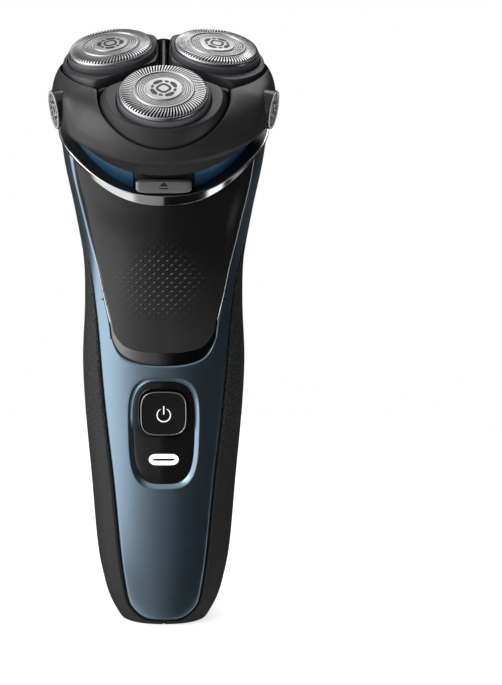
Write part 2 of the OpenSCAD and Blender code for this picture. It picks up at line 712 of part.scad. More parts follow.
module trimmer_blade() {
    color([0.6, 0.6, 0.62]) trimmer_frame()
        comb_row(trimmer_w - 3.4, -1.3, 0.7, trimmer_len - 7, trimmer_len - 1.8, trimmer_len + 0.9, 0.5);
}
slider_z = 45;
module slider_slot(gap) {
    translate([-4 - gap, 8, slider_z - 4 - gap]) cube([8 + 2 * gap, 20, 12 + 2 * gap]);
}
module trimmer_slider() {
    color([0.14, 0.14, 0.14]) difference() {
        union() {
            translate([-3.8, 13, slider_z - 3.8]) cube([7.6, 3.9, 7.6]);
            translate([-5.4, 12, slider_z - 5.4]) cube([10.8, 1.4, 10.8]);
        }
        for (k = [-2:2]) translate([-3, 16.5, slider_z + 1.4 * k - 0.25]) cube([6, 1, 0.5]);
    }
}

// ---------- charging inlet in the base ----------
socket_w = 9;
socket_d = 4.8;
socket_y = 4.2;
socket_depth = 7;
module socket_well(w, d, low, high) {
    translate([0, socket_y, low]) linear_extrude(high - low) {
        square([w - d, d], center = true);
        for (x = [-1, 1]) translate([x * (w - d) / 2, 0]) circle(d / 2, $fn = 40);
    }
}
contact_x = 1.9;
contact_r = 0.6;
module charging_socket() {
    color([0.1, 0.1, 0.1]) difference() {
        socket_well(socket_w + 2, socket_d + 2, 0.4, socket_depth + 1.6);
        socket_well(socket_w, socket_d, -1, socket_depth);
        for (x = [-contact_x, contact_x]) translate([x, socket_y, -1]) cylinder(r = contact_r, h = 12);
    }
}
module contact_pins() {
    color("gold") for (x = [-contact_x, contact_x]) translate([x, socket_y, 4.4])
        cylinder(r = contact_r, h = 6.6);
}

// ---------- assembly ----------
front_shell();
rear_shell();
front_panel();
panel_trim();
collar_ring();
collar_deck();
hair_chamber();
hinge_pin();
control_panel();
light_window();
chassis();
gear_plate();
motor();
battery();
battery_tabs();
circuit_board();
status_led();
tact_switch();
charging_socket();
contact_pins();
shell_screws();
deck_seal();
trimmer_housing();
motor_shaft();
armature();
pinion();
drive_gear(1);  // drive_gear_1
drive_gear(2);  // drive_gear_2
drive_gear(3);  // drive_gear_3
spindle(1);  // spindle_1
spindle(2);  // spindle_2
spindle(3);  // spindle_3
spindle_spring(1);  // spindle_spring_1
spindle_spring(2);  // spindle_spring_2
spindle_spring(3);  // spindle_spring_3
head_cover();
side_emblems();
retaining_frame();
frame_lock();
head_holder(1);  // head_holder_1
head_holder(2);  // head_holder_2
head_holder(3);  // head_holder_3
guard_skirt(1);  // guard_skirt_1
guard_skirt(2);  // guard_skirt_2
guard_skirt(3);  // guard_skirt_3
guard(1);  // guard_1
guard(2);  // guard_2
guard(3);  // guard_3
cutter(1);  // cutter_1
cutter(2);  // cutter_2
cutter(3);  // cutter_3
power_button();
button_ring();
release_button();
trimmer_arm();
trimmer_comb();
trimmer_pin();
trimmer_blade();
trimmer_slider();
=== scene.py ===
# Rotary electric shaver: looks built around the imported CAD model. Lengths in this
# file are millimetres in the model's own frame, and make_piece() turns them to metres.

import json
import math

import bmesh
import bpy
import numpy as np
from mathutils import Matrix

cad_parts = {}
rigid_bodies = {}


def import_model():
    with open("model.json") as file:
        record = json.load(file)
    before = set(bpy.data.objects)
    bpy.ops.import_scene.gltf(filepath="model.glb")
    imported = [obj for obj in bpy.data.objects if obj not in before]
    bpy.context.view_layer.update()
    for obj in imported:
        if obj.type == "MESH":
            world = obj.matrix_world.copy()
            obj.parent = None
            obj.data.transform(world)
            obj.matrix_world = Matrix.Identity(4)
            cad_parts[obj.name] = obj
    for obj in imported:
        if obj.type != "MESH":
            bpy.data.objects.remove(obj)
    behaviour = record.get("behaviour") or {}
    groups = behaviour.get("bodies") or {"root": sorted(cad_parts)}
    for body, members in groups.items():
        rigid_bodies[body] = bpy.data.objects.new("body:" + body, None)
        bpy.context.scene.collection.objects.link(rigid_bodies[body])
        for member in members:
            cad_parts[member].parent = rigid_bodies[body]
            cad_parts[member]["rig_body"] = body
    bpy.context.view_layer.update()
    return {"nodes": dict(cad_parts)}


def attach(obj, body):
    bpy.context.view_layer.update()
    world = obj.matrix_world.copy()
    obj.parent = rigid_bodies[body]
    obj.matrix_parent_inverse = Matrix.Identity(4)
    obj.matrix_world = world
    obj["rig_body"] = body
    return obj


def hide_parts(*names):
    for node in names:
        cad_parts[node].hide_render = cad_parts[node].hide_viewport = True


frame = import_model()

MM = 0.001
NODES = frame["nodes"]

# ---------------------------------------------------------------- camera and light
camera_data = bpy.data.cameras.new("camera")
camera_data.lens = 59.27
camera_data.sensor_width = 36
camera_data.shift_x = 0.1274
camera_data.clip_start = 0.01
camera = bpy.data.objects.new("camera", camera_data)
camera.location = (0, -0.31269, 0.11077)
camera.rotation_euler = (math.radians(84), 0, 0)
bpy.context.scene.collection.objects.link(camera)
bpy.context.scene.camera = camera

AIM = np.array([0, 0, 0.085])


def softbox(name, azimuth, elevation, distance, width, height, power):
    """Area light at a direction and distance from the object's middle, turned to face it.
    Azimuth is in degrees from the front, positive to the right."""
    data = bpy.data.lights.new(name, "AREA")
    data.shape = "RECTANGLE"
    data.size, data.size_y = width, height
    data.energy = power
    light = bpy.data.objects.new(name, data)
    az, el = math.radians(azimuth), math.radians(elevation)
    way = np.array([math.sin(az) * math.cos(el), -math.cos(az) * math.cos(el), math.sin(el)])
    light.location = AIM + way * distance
    light.rotation_euler = (math.radians(90) - el, 0, az)
    light.visible_camera = False
    bpy.context.scene.collection.objects.link(light)


softbox("key_left", -62, 38, 0.9, 0.5, 0.5, 2.6)
softbox("overhead", 150, 70, 0.8, 0.5, 0.3, 1.2)
softbox("floor_light", 30, 80, 1.3, 1.6, 1.6, 2.5)


# ---------------------------------------------------------------- shader maths
class Value:
    """A shader socket that takes part in sums: each operator adds a Math node."""

    def __init__(self, finish, socket):
        self.finish, self.socket = finish, socket

    def math(self, operation, *others):
        return self.finish.node("ShaderNodeMath", [self, *others], operation=operation)

    def __add__(self, other): return self.math("ADD", other)
    def __radd__(self, other): return self.math("ADD", other)
    def __sub__(self, other): return self.math("SUBTRACT", other)
    def __rsub__(self, other): return self.finish.node("ShaderNodeMath", [other, self], operation="SUBTRACT")
    def __mul__(self, other): return self.math("MULTIPLY", other)
    def __rmul__(self, other): return self.math("MULTIPLY", other)
    def __truediv__(self, other): return self.math("DIVIDE", other)
    def __pow__(self, other): return self.math("POWER", other)
    def __abs__(self): return self.math("ABSOLUTE")


class Finish:
    """A procedural material: one Principled shader and the nodes that feed it."""

    def __init__(self, name, colour, roughness, metallic=0.0, **sockets):
        self.material = bpy.data.materials.new(name)
        self.material.use_nodes = True
        self.tree = self.material.node_tree
        self.tree.nodes.clear()
        self.shader = self.tree.nodes.new("ShaderNodeBsdfPrincipled")
        output = self.tree.nodes.new("ShaderNodeOutputMaterial")
        self.tree.links.new(self.shader.outputs[0], output.inputs[0])
        self.feed(**{"Base Color": (*colour, 1), "Roughness": roughness, "Metallic": metallic})
        self.feed(**{key.replace("_", " "): value for key, value in sockets.items()})
        self.material.diffuse_color = (*colour, 1)

    def feed(self, **sockets):
        for key, value in sockets.items():
            self.join(self.shader.inputs[key], value)

    def surface(self, colour, roughness):
        self.feed(**{"Base Color": colour, "Roughness": roughness})

    def join(self, socket, value):
        if isinstance(value, Value):
            self.tree.links.new(value.socket, socket)
        elif value is not None:
            socket.default_value = value

    def node(self, kind, inputs=None, out=0, ramp=None, **settings):
        """Any other node: its settings first, then its sockets by place or by name."""
        made = self.tree.nodes.new(kind)
        for key, value in settings.items():
            setattr(made, key, value)
        if ramp:
            while len(made.color_ramp.elements) < len(ramp):
                made.color_ramp.elements.new(0.5)
            for element, (place, grey) in zip(made.color_ramp.elements, ramp):
                element.position = place
                element.color = grey if isinstance(grey, tuple) else (grey, grey, grey, 1)
        items = inputs.items() if isinstance(inputs, dict) else enumerate(inputs or [])
        for key, value in items:
            self.join(made.inputs[key], value)
        return Value(self, made.outputs[out])

    def place(self, scale=(1, 1, 1), turn=(0, 0, 0), shift=(0, 0, 0)):
        """Object coordinates, moved, turned and stretched."""
        coordinates = self.node("ShaderNodeTexCoord", out="Object")
        return self.node("ShaderNodeMapping", {"Vector": coordinates, "Scale": scale, "Rotation": turn,
                                               "Location": shift})

    def axis(self, which):
        """One coordinate of the surface point, in millimetres."""
        split = self.node("ShaderNodeSeparateXYZ", [self.node("ShaderNodeTexCoord", out="Object")],
                          out="XYZ".index(which))
        return split * 1000.0

    def noise(self, scale, detail=3.0, roughness=0.55, vector=None):
        """Cloudy noise from 0 to 1 with this many lumps to the metre."""
        return self.node("ShaderNodeTexNoise", {"Vector": vector or self.place(), "Scale": scale,
                                                "Detail": detail, "Roughness": roughness})

    def cells(self, scale, vector=None, randomness=1.0):
        """Distance to the nearest of scattered points."""
        return self.node("ShaderNodeTexVoronoi", {"Vector": vector or self.place(), "Scale": scale,
                                                  "Randomness": randomness})

    def ramp(self, value, stops):
        return self.node("ShaderNodeValToRGB", {"Fac": value}, ramp=stops)

    def mix(self, factor, first, second):
        return self.node("ShaderNodeMix", {"Factor": factor, 6: first, 7: second}, out=2, data_type="RGBA")

    def bump(self, height, depth_mm, strength=1.0):
        """Relief of this depth in millimetres, added to the surface normal."""
        self.feed(Normal=self.node("ShaderNodeBump", {"Height": height, "Distance": depth_mm * MM,
                                                      "Strength": strength}))


def shade(colour, factor):
    return (colour[0] * factor, colour[1] * factor, colour[2] * factor, 1)


def mottled(name, colour, roughness, metallic=0.0, scale=900, spread=0.12, depth=0.004, **sockets):
    """Plain moulded, cast or plated finish: slight colour and gloss variation and a fine skin."""
    finish = Finish(name, colour, roughness, metallic, **sockets)
    cloud = finish.noise(scale * 0.12, 3)
    finish.surface(finish.mix(cloud, shade(colour, 1 - spread), shade(colour, 1 + spread)),
                   cloud * (roughness * 0.35) + roughness * 0.82)
    finish.bump(finish.noise(scale, 2), depth)
    return finish.material


def blue_satin():
    """Metallic blue lacquer, faintly brushed across, with fine flakes."""
    base = (0.27, 0.375, 0.47)
    finish = Finish("blue_satin", base, 0.3, 0.96)
    streaks = finish.noise(1.0, 4, 0.6, finish.place(scale=(22, 22, 1500)))
    flakes = finish.noise(5200, 2)
    tone = streaks * 0.3 + flakes * 0.4 + 0.15
    finish.surface(finish.mix(tone, shade(base, 0.86), shade(base, 1.14)),
                   streaks * 0.06 + 0.27)
    finish.bump(streaks * 0.35 + flakes * 0.65, 0.0025)
    return finish.material


def grip_grain():
    """Matt black grip plastic: a pebbled leather grain in slanting rows, fading to smooth low down."""
    finish = Finish("grip_grain", (0.03, 0.03, 0.031), 0.5)
    warp = finish.place(scale=(1, 1, 0.72), turn=(0.35, 0.5, 0))
    pebble = finish.cells(1650, vector=warp, randomness=0.75)
    grained = finish.ramp((finish.axis("Z") - 44.0) / 16.0, [(0.0, 0.0), (1.0, 1.0)])
    top = finish.ramp(pebble, [(0.12, 1.0), (0.62, 0.0)]) * grained
    fine = finish.noise(6500, 2)
    finish.surface(finish.mix(top, (0.016, 0.016, 0.017, 1), (0.034, 0.034, 0.035, 1)),
                   0.58 - top * 0.16 + fine * 0.05)
    finish.bump(top * 0.85 + fine * 0.15, 0.24)
    return finish.material


def head_black():
    """Black head plastic, spark-eroded to an even silk, with faint wear in its gloss."""
    finish = Finish("head_black", (0.026, 0.026, 0.027), 0.4)
    silk = finish.noise(4200, 3)
    cloud = finish.noise(160, 3)
    finish.surface(finish.mix(cloud, (0.022, 0.022, 0.023, 1), (0.031, 0.031, 0.032, 1)),
                   cloud * 0.1 + 0.33 + silk * 0.06)
    finish.bump(silk, 0.012)
    return finish.material


def panel_gloss():
    """Deep black panel plastic: glossy at the top, silkier towards its lower end."""
    finish = Finish("panel_gloss", (0.013, 0.013, 0.014), 0.24)
    height = finish.axis("Z")
    silky = finish.ramp((105.0 - height) / 24.0, [(0.0, 0.0), (1.0, 1.0)])
    fine = finish.noise(3800, 2)
    finish.surface(finish.mix(silky, (0.009, 0.009, 0.010, 1), (0.026, 0.026, 0.027, 1)),
                   silky * 0.16 + fine * 0.04 + 0.2)
    finish.bump(fine, 0.004)
    return finish.material


def polished(name, colour, roughness, scratch=0.05, metallic=1.0):
    """Bright metal with hairline marks that only show in its gloss."""
    finish = Finish(name, colour, roughness, metallic)
    hair = finish.noise(700, 3, 0.6, finish.place(scale=(1, 1, 14)))
    finish.surface(finish.mix(hair, shade(colour, 0.94), shade(colour, 1.05)),
                   hair * scratch + roughness)
    finish.bump(hair, 0.0012)
    return finish.material


def spun_face(name, colour, centre_z, roughness=0.3):
    """Dark metal turned on a lathe: fine circles about the button's centre."""
    finish = Finish(name, colour, roughness, 0.85)
    x, z = finish.axis("X"), finish.axis("Z") - centre_z
    radius = (x * x + z * z) ** 0.5
    rings = (radius * 34.0).math("SINE") * 0.5 + 0.5
    uneven = finish.noise(900, 2)
    finish.surface(finish.mix(uneven, shade(colour, 0.85), shade(colour, 1.15)),
                   uneven * 0.08 + roughness)
    finish.bump(rings * 0.7 + uneven * 0.3, 0.012)
    return finish.material


def glowing(name, colour, power):
    """Lit white window: brightest along the middle of its length."""
    finish = Finish(name, colour, 0.3)
    x = abs(finish.axis("X"))
    level = finish.ramp(x / 5.0, [(0.0, 1.0), (1.0, 0.82)])
    finish.feed(**{"Emission Color": finish.mix(level, (0.8, 0.86, 0.95, 1), (1, 1, 1, 1)),
                   "Emission Strength": power})
    return finish.material


def steel_turned(name, colour, roughness):
    """Sheet steel with a fine satin grain."""
    finish = Finish(name, colour, roughness, 1.0)
    grain = finish.noise(2600, 3)
    finish.surface(finish.mix(grain, shade(colour, 0.9), shade(colour, 1.08)),
                   grain * 0.12 + roughness)
    finish.bump(grain, 0.003)
    return finish.material


BLUE = blue_satin()
GRIP = grip_grain()
HEAD = head_black()
PANEL = panel_gloss()
GLOSS = mottled("gloss_black", (0.008, 0.008, 0.009), 0.07, scale=300, depth=0.001)
DARK_CHROME = polished("dark_chrome", (0.2, 0.19, 0.195), 0.13)
CHROME = polished("bright_chrome", (0.82, 0.82, 0.84), 0.07)
SILVER_LINE = polished("silver_line", (0.75, 0.76, 0.78), 0.12)
DECK = mottled("deck_black", (0.012, 0.012, 0.013), 0.3)
CHAMBER = mottled("chamber_blue", (0.012, 0.055, 0.12), 0.34, scale=1200)
SKIRT = mottled("skirt_grey", (0.095, 0.095, 0.11), 0.33, scale=1800)
GUARD_STEEL = steel_turned("guard_steel", (0.62, 0.62, 0.63), 0.24)
CAP_STEEL = steel_turned("cap_steel", (0.54, 0.54, 0.545), 0.36)
# Near-black: painted shade in the guard caps' openings and grooves, and the printed eject icon on the release
# button.
CAP_SHADE_AND_PRINT = mottled("cap_mark", (0.02, 0.02, 0.021), 0.4)
# Near-black steel for the cutters: painted shade for where they sit under the guards, not the steel's own
# colour.
CUTTER_STEEL_PAINTED_SHADE = steel_turned("cutter_steel_painted_shade", (0.035, 0.035, 0.037), 0.4)
GUNMETAL = mottled("gunmetal", (0.26, 0.26, 0.265), 0.36, metallic=0.55)
EMBLEM_BLACK = mottled("emblem_black", (0.012, 0.012, 0.012), 0.22)
EMBLEM_SILVER = mottled("emblem_silver", (0.62, 0.62, 0.63), 0.36, metallic=0.25)
BUTTON_FACE = spun_face("button_face", (0.035, 0.035, 0.037), 60.4)
ICON_WHITE = glowing("icon_white", (0.7, 0.7, 0.72), 0.62)
LIGHT = glowing("light_window", (0.8, 0.82, 0.85), 1.15)
RUBBER = mottled("seal_rubber", (0.02, 0.02, 0.02), 0.7)
IVORY = mottled("gear_ivory", (0.62, 0.58, 0.48), 0.38)
FRAME_WHITE = mottled("frame_grey_white", (0.42, 0.42, 0.4), 0.45)
STEEL = polished("bright_steel", (0.6, 0.6, 0.62), 0.18)
CAN = polished("motor_can", (0.5, 0.51, 0.53), 0.28)
CELL = mottled("cell_wrap", (0.05, 0.22, 0.45), 0.3, scale=400)
BOARD = mottled("board_green", (0.012, 0.1, 0.04), 0.35, scale=2600, spread=0.3)
BRASS = polished("contact_brass", (0.75, 0.52, 0.2), 0.25)
COPPER = polished("winding_copper", (0.72, 0.33, 0.15), 0.32)

CARRIED = {
    "blue_shell": BLUE, "grip_black": GRIP, "panel_black": PANEL, "trim_black": GLOSS,
    "chrome": CHROME, "deck_black": DECK, "chamber_blue": CHAMBER, "steel": STEEL,
    "panel_gloss": GLOSS, "light_white": LIGHT, "frame_white": FRAME_WHITE, "motor_can": CAN,
    "cell_wrap": CELL, "board_green": BOARD, "contact_brass": BRASS, "seal_rubber": RUBBER,
    "copper": COPPER, "gear_ivory": IVORY, "head_black": HEAD, "emblem_black": EMBLEM_BLACK,
    "skirt_grey": SKIRT, "guard_steel": GUARD_STEEL, "button_black": GLOSS, "gunmetal": GUNMETAL,
}
for carried in NODES.values():
    for slot in carried.material_slots:
        key = slot.material.name.split(".")[0]
        if key in CARRIED:
            slot.material = CARRIED[key]
# The cutters get the near-black steel as painted shade for their place under the guards.
for i in (1, 2, 3):
    for slot in NODES[f"cutter_{i}"].material_slots:
        slot.material = CUTTER_STEEL_PAINTED_SHADE


# ---------------------------------------------------------------- mesh helpers
def grid_quads(rows, cols, wrap_rows=False, wrap_cols=False):
    """Four corner numbers of each square of a grid whose points are numbered row by row."""
    i = np.arange(rows if wrap_rows else rows - 1)[:, None]
    j = np.arange(cols if wrap_cols else cols - 1)[None, :]
    ni, nj = (i + 1) % rows, (j + 1) % cols
    quads = np.stack([i * cols + j + 0 * nj, i * cols + nj, ni * cols + nj, ni * cols + j], -1)
    return quads.reshape(-1, 4)


def join_parts(parts):
    """One list of points and one of faces from several (points, faces) pairs."""
    points, faces, offset = [], [], 0
    for part_points, part_faces in parts:
        flat = np.asarray(part_points, float).reshape(-1, 3)
        points.append(flat)
        faces.extend([[int(k) + offset for k in f] for f in part_faces])
        offset += len(flat)
    return np.concatenate(points), faces


def make_piece(name, parts, material, body, node=None, smooth=32, weld=0.002, facing=None,
               solidify=0, bevel=0):
    """Mesh object from (points, faces) pairs in millimetres, welded, facing outwards, on its body.
    An open sheet is turned so that most of it faces the way given."""
    points, faces = join_parts(parts)
    mesh = bpy.data.meshes.new(name)
    mesh.from_pydata((points * MM).tolist(), [], faces)
    work = bmesh.new()
    work.from_mesh(mesh)
    bmesh.ops.remove_doubles(work, verts=work.verts, dist=weld * MM)
    bmesh.ops.dissolve_degenerate(work, edges=work.edges, dist=1e-8)
    bmesh.ops.recalc_face_normals(work, faces=work.faces)
    if facing:
        towards = sum(f.normal.dot(facing) * f.calc_area() for f in work.faces)
        if towards < 0:
            bmesh.ops.reverse_faces(work, faces=work.faces)
    work.to_mesh(mesh)
    work.free()
    mesh.materials.append(material)
    piece = bpy.data.objects.new(name, mesh)
    bpy.context.scene.collection.objects.link(piece)
    if solidify:
        wall = piece.modifiers.new("wall", "SOLIDIFY")
        wall.thickness, wall.offset = solidify * MM, -1
    if bevel:
        soften(piece, bevel)
    finish_shading(piece, smooth)
    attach(piece, body)
    if node:
        for one in [node] if isinstance(node, str) else node:
            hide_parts(one)
    return piece


def soften(piece, width):
    edges = piece.modifiers.new("edges", "BEVEL")
    edges.width, edges.segments = width * MM, 2
    edges.limit_method, edges.angle_limit = "ANGLE", math.radians(32)
    edges.harden_normals = False


def finish_shading(piece, angle):
    piece.data.shade_smooth()
    piece.data.set_sharp_from_angle(angle=math.radians(angle))


def softened(node, width, material=None, smooth=35):
    """A merged copy of a CAD node with its sharp edges rounded, shown in its place."""
    source = NODES[node]
    mesh = source.data.copy()
    work = bmesh.new()
    work.from_mesh(mesh)
    bmesh.ops.remove_doubles(work, verts=work.verts, dist=2e-6)
    bmesh.ops.dissolve_limit(work, verts=work.verts, edges=work.edges, angle_limit=math.radians(1))
    work.to_mesh(mesh)
    work.free()
    piece = bpy.data.objects.new(node + "_soft", mesh)
    bpy.context.scene.collection.objects.link(piece)
    if material:
        mesh.materials.clear()
        mesh.materials.append(material)
    soften(piece, width)
    finish_shading(piece, smooth)
    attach(piece, source["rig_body"])
    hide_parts(node)
    return piece


def carve(piece, cutters):
    """Cuts other meshes out of a piece and keeps the result."""
    for cutter in cutters:
        cut = piece.modifiers.new("cut", "BOOLEAN")
        cut.operation, cut.solver, cut.object = "DIFFERENCE", "EXACT", cutter
    graph = bpy.context.evaluated_depsgraph_get()
    mesh = bpy.data.meshes.new_from_object(piece.evaluated_get(graph))
    piece.modifiers.clear()
    piece.data = mesh
    for cutter in cutters:
        bpy.data.objects.remove(cutter)


def loose(name, parts):
    """A plain mesh object that is only used to cut another."""
    points, faces = join_parts(parts)
    mesh = bpy.data.meshes.new(name)
    mesh.from_pydata((points * MM).tolist(), [], faces)
    work = bmesh.new()
    work.from_mesh(mesh)
    bmesh.ops.remove_doubles(work, verts=work.verts, dist=1e-6)
    bmesh.ops.recalc_face_normals(work, faces=work.faces)
    work.to_mesh(mesh)
    work.free()
    cutter = bpy.data.objects.new(name, mesh)
    bpy.context.scene.collection.objects.link(cutter)
    return cutter


def turn_x(degrees):
    a = math.radians(degrees)
    return np.array([[1, 0, 0], [0, math.cos(a), -math.sin(a)], [0, math.sin(a), math.cos(a)]])


def turn_z(degrees):
    a = math.radians(degrees)
    return np.array([[math.cos(a), -math.sin(a), 0], [math.sin(a), math.cos(a), 0], [0, 0, 1]])


def lathe(points, turns=128):
    """(points, faces) of a profile of (radius, height) pairs carried once round the axis."""
    profile = np.asarray(points, float)
    a = np.linspace(0, 2 * np.pi, turns, endpoint=False)[:, None]
    r, h = profile[None, :, 0], profile[None, :, 1]
    grid = np.stack([r * np.cos(a), r * np.sin(a), h + 0 * a], -1)
    return grid, grid_quads(turns, len(profile), wrap_rows=True)


def ring_lathe(points, turns=128):
    """As lathe(), for a closed profile that stays clear of the axis."""
    grid, _ = lathe(points, turns)
    return grid, grid_quads(turns, len(points), wrap_rows=True, wrap_cols=True)


def prism(*ends):
    """Closed solid between two outlines of the same number of points."""
    count = len(ends[0])
    sides = grid_quads(2, count, wrap_cols=True).tolist()
    return np.concatenate(ends), [*sides, list(range(count)), list(range(count, 2 * count))]


def hoop(inner, outer, low, high, rounding, turns):
    """Ring of rectangular section with rounded corners."""
    corners = [(inner, low), (outer, low), (outer, high), (inner, high)]
    return ring_lathe(closed_rounded(corners, rounding), turns)


def rounded_path(points, radii, steps=4):
    """Polyline whose corners are replaced by short arcs (quadratic curves) of these sizes."""
    points = np.asarray(points, float)
    out = [points[0]]
    for k in range(1, len(points) - 1):
        before, corner, after = points[k - 1], points[k], points[k + 1]
        size = radii[k] if not np.isscalar(radii) else radii
        to_before, to_after = before - corner, after - corner
        la, lb = np.linalg.norm(to_before), np.linalg.norm(to_after)
        size = min(size, la * 0.49, lb * 0.49)
        if size < 1e-6:
            out.append(corner)
            continue
        start, end = corner + to_before / la * size, corner + to_after / lb * size
        for t in np.linspace(0, 1, steps + 1):
            out.append((1 - t) ** 2 * start + 2 * t * (1 - t) * corner + t * t * end)
    out.append(points[-1])
    return np.array(out)


def closed_rounded(points, size, steps=3):
    """As rounded_path(), for a closed outline."""
    points = [list(p) for p in points]
    path = rounded_path([points[-1], *points, points[0]], size, steps)
    return path[1:-1]


def smoothstep(t):
    t = np.clip(t, 0, 1)
    return t * t * (3 - 2 * t)


def mix(a, b, k):
    return a + (b - a) * k


# ---------------------------------------------------------------- frames of the head
HEAD_Y, HEAD_Z, HEAD_TILT = -10.0, 154.0, 35.0
GUARD_R, GUARD_ORBIT, GUARD_TILT = 11.4, 16.5, 7.0
HEAD_TURN = turn_x(HEAD_TILT)
HEAD_AT = np.array([0, HEAD_Y, HEAD_Z])


def in_head(points, i=1):
    """Points given in the head's frame, turned to cutting unit i, in the model's frame."""
    points = np.asarray(points, float)
    return points @ (HEAD_TURN @ turn_z(120 * (i - 1))).T + HEAD_AT


def in_guard(points, i):
    """Points given about guard i's own tilted axis, in the model's frame."""
    points = np.asarray(points, float) @ turn_x(GUARD_TILT).T + [0, -GUARD_ORBIT, 0]
    return in_head(points, i)


def head_part(part, i=1):
    return in_head(part[0], i), part[1]


def guard_part(part, i):
    return in_guard(part[0], i), part[1]


# ---------------------------------------------------------------- handle skin
RING_LOW, RING_TOP = -26.2, -24.0
TOP_S = HEAD_Z + RING_LOW * math.cos(math.radians(HEAD_TILT))
COLLAR_R = 28.4
HALF_WIDTH = np.array([
    [0, 12], [2, 13.2], [5.5, 15], [10, 16.5], [20, 18.5], [40, 20.2], [60, 21.9],
    [74, 22.5], [90, 21.9], [103, 22.3], [115, 24.6], [125, 27.2], [TOP_S, COLLAR_R]])
HALF_DEPTH = np.array([
    [0, 9.2], [2, 10.6], [5.5, 12.2], [10, 13.4], [20, 14.6], [40, 15.6], [75, 16.3],
    [95, 18], [115, 23], [TOP_S, COLLAR_R]])
CENTRE_Y = np.array([
    [0, 0], [10, 0], [40, 0.2], [75, 0.7], [95, 2], [115, 4.4],
    [TOP_S, HEAD_Y - RING_LOW * math.sin(math.radians(HEAD_TILT))]])
SECTION_TILT = np.array([[0, 0], [60, 0], [80, 4], [95, 12], [115, 25], [TOP_S, HEAD_TILT]])
SQUARENESS = np.array([[0, 2.3], [10, 2.4], [100, 2.4], [TOP_S, 2]])
SEAM = np.array([[6.5, 37], [20, 37.3], [40, 40], [62, 44.5], [77, 48.5], [91, 57], [104, 67],
                 [115, 84], [TOP_S, 106]])
PANEL_EDGE = np.array([[0, 31.8], [60, 31.8], [82.5, 35], [98.6, 46.8], [115, 54], [TOP_S, 59]])
BLUE_LOW, BLUE_CORNER = 1.3, 5.2
TRIM_LOW, TRIM_SAG, TRIM_CORNER = 73.8, 3.6, 4.4
RIM_START, RIM_RISE, RIM_TOP_RISE, LEDGE_RISE = 106, 7.0, 4.9, 6.2


def curve(t, table):
    """Cubic through a table of pairs, whose slope at each pair is that between its neighbours."""
    t = np.asarray(t, float)
    keys, values = table[:, 0], table[:, 1]
    last = len(keys) - 1
    i = np.clip(np.searchsorted(keys, t, side="right") - 1, 0, last - 1)
    a, d = np.maximum(i - 1, 0), np.minimum(i + 2, last)
    w = keys[i + 1] - keys[i]
    k = np.clip((t - keys[i]) / w, 0, 1)
    m1 = w * (values[i + 1] - values[a]) / (keys[i + 1] - keys[a])
    m2 = w * (values[d] - values[i]) / (keys[d] - keys[i])
    return (values[i] * (2 * k**3 - 3 * k**2 + 1) + m1 * (k**3 - 2 * k**2 + k)
            + values[i + 1] * (3 * k**2 - 2 * k**3) + m2 * (k**3 - k**2))


def signed_pow(x, e):
    return np.sign(x) * np.abs(x) ** e


def rim_lift(azimuth):
    """How far the collar has risen round the head: 0 at the front, 1 at the sides, 0 at the back."""
    az = np.abs((np.asarray(azimuth, float) + 180) % 360 - 180)
    rise = ((1 - np.cos(np.pi * np.minimum(az, 68) / 68)) / 2) ** 1.4
    return rise * (1 - smoothstep((az - 95) / 45))


def skin(s, angle, inset=0.0):
    """Point on the handle: section height s, angle round from the front in degrees, inset inwards.
    Each section is a superellipse in a plane that leans towards the head's tilt higher up, and
    the last sections climb with the collar's rim."""
    s, angle = np.broadcast_arrays(np.asarray(s, float), np.asarray(angle, float))
    a = np.radians(angle)
    e = 2 / curve(s, SQUARENESS)
    lean = np.radians(curve(s, SECTION_TILT))
    out = (curve(s, HALF_DEPTH) - inset) * signed_pow(np.cos(a), e)
    across = (curve(s, HALF_WIDTH) - inset) * signed_pow(np.sin(a), e)
    lift = RIM_RISE * rim_lift(angle) * smoothstep((s - RIM_START) / (TOP_S - RIM_START))
    tilt = math.radians(HEAD_TILT)
    return np.stack([across, curve(s, CENTRE_Y) - out * np.cos(lean) - lift * math.sin(tilt),
                     s - out * np.sin(lean) + lift * math.cos(tilt)], -1)


def face_at(x, z):
    """Depth y of the handle's front face at a place seen from the front. The section that
    passes there is found by repeated steps, because the sections lean."""
    x, z = np.broadcast_arrays(np.asarray(x, float), np.asarray(z, float))
    s = z.astype(float)
    for _ in range(12):
        n = curve(s, SQUARENESS)
        share = np.clip(np.abs(x) / curve(s, HALF_WIDTH), 0, 0.999)
        reach = curve(s, HALF_DEPTH) * (1 - share**n) ** (1 / n)
        lean = np.radians(curve(s, SECTION_TILT))
        s = z + reach * np.sin(lean)
    return curve(s, CENTRE_Y) - reach * np.cos(lean)


def seam(s):
    """Angle of the seam between the shells; it closes at the front below the blue shell."""
    s = np.asarray(s, float)
    low = SEAM[0, 1] * np.clip((s - BLUE_LOW) / BLUE_CORNER, 0, 1) ** 0.25
    return np.where(s < BLUE_LOW + BLUE_CORNER, low, curve(s, SEAM))


def trim_edge(w):
    w = np.clip(np.abs(w), 0, 1)
    return TRIM_LOW + TRIM_SAG * w**2 + TRIM_CORNER * w**8


# ---------------------------------------------------------------- blue front shell
CAPSULE_Z, CAPSULE_A, CAPSULE_B, CAPSULE_N, CAPSULE_TAPER = 55.0, 8.15, 13.8, 3.5, 0.04


def capsule_outline(theta, offset=0.0):
    """Tapered superellipse round the controls, as (x, z); theta runs from +x towards +z."""
    a, b, n = CAPSULE_A + offset, CAPSULE_B + offset, CAPSULE_N
    r = (np.abs(np.cos(theta) / a) ** n + np.abs(np.sin(theta) / b) ** n) ** (-1 / n)
    x, z = r * np.cos(theta), r * np.sin(theta)
    return x * (1 + CAPSULE_TAPER * z / b), z + CAPSULE_Z


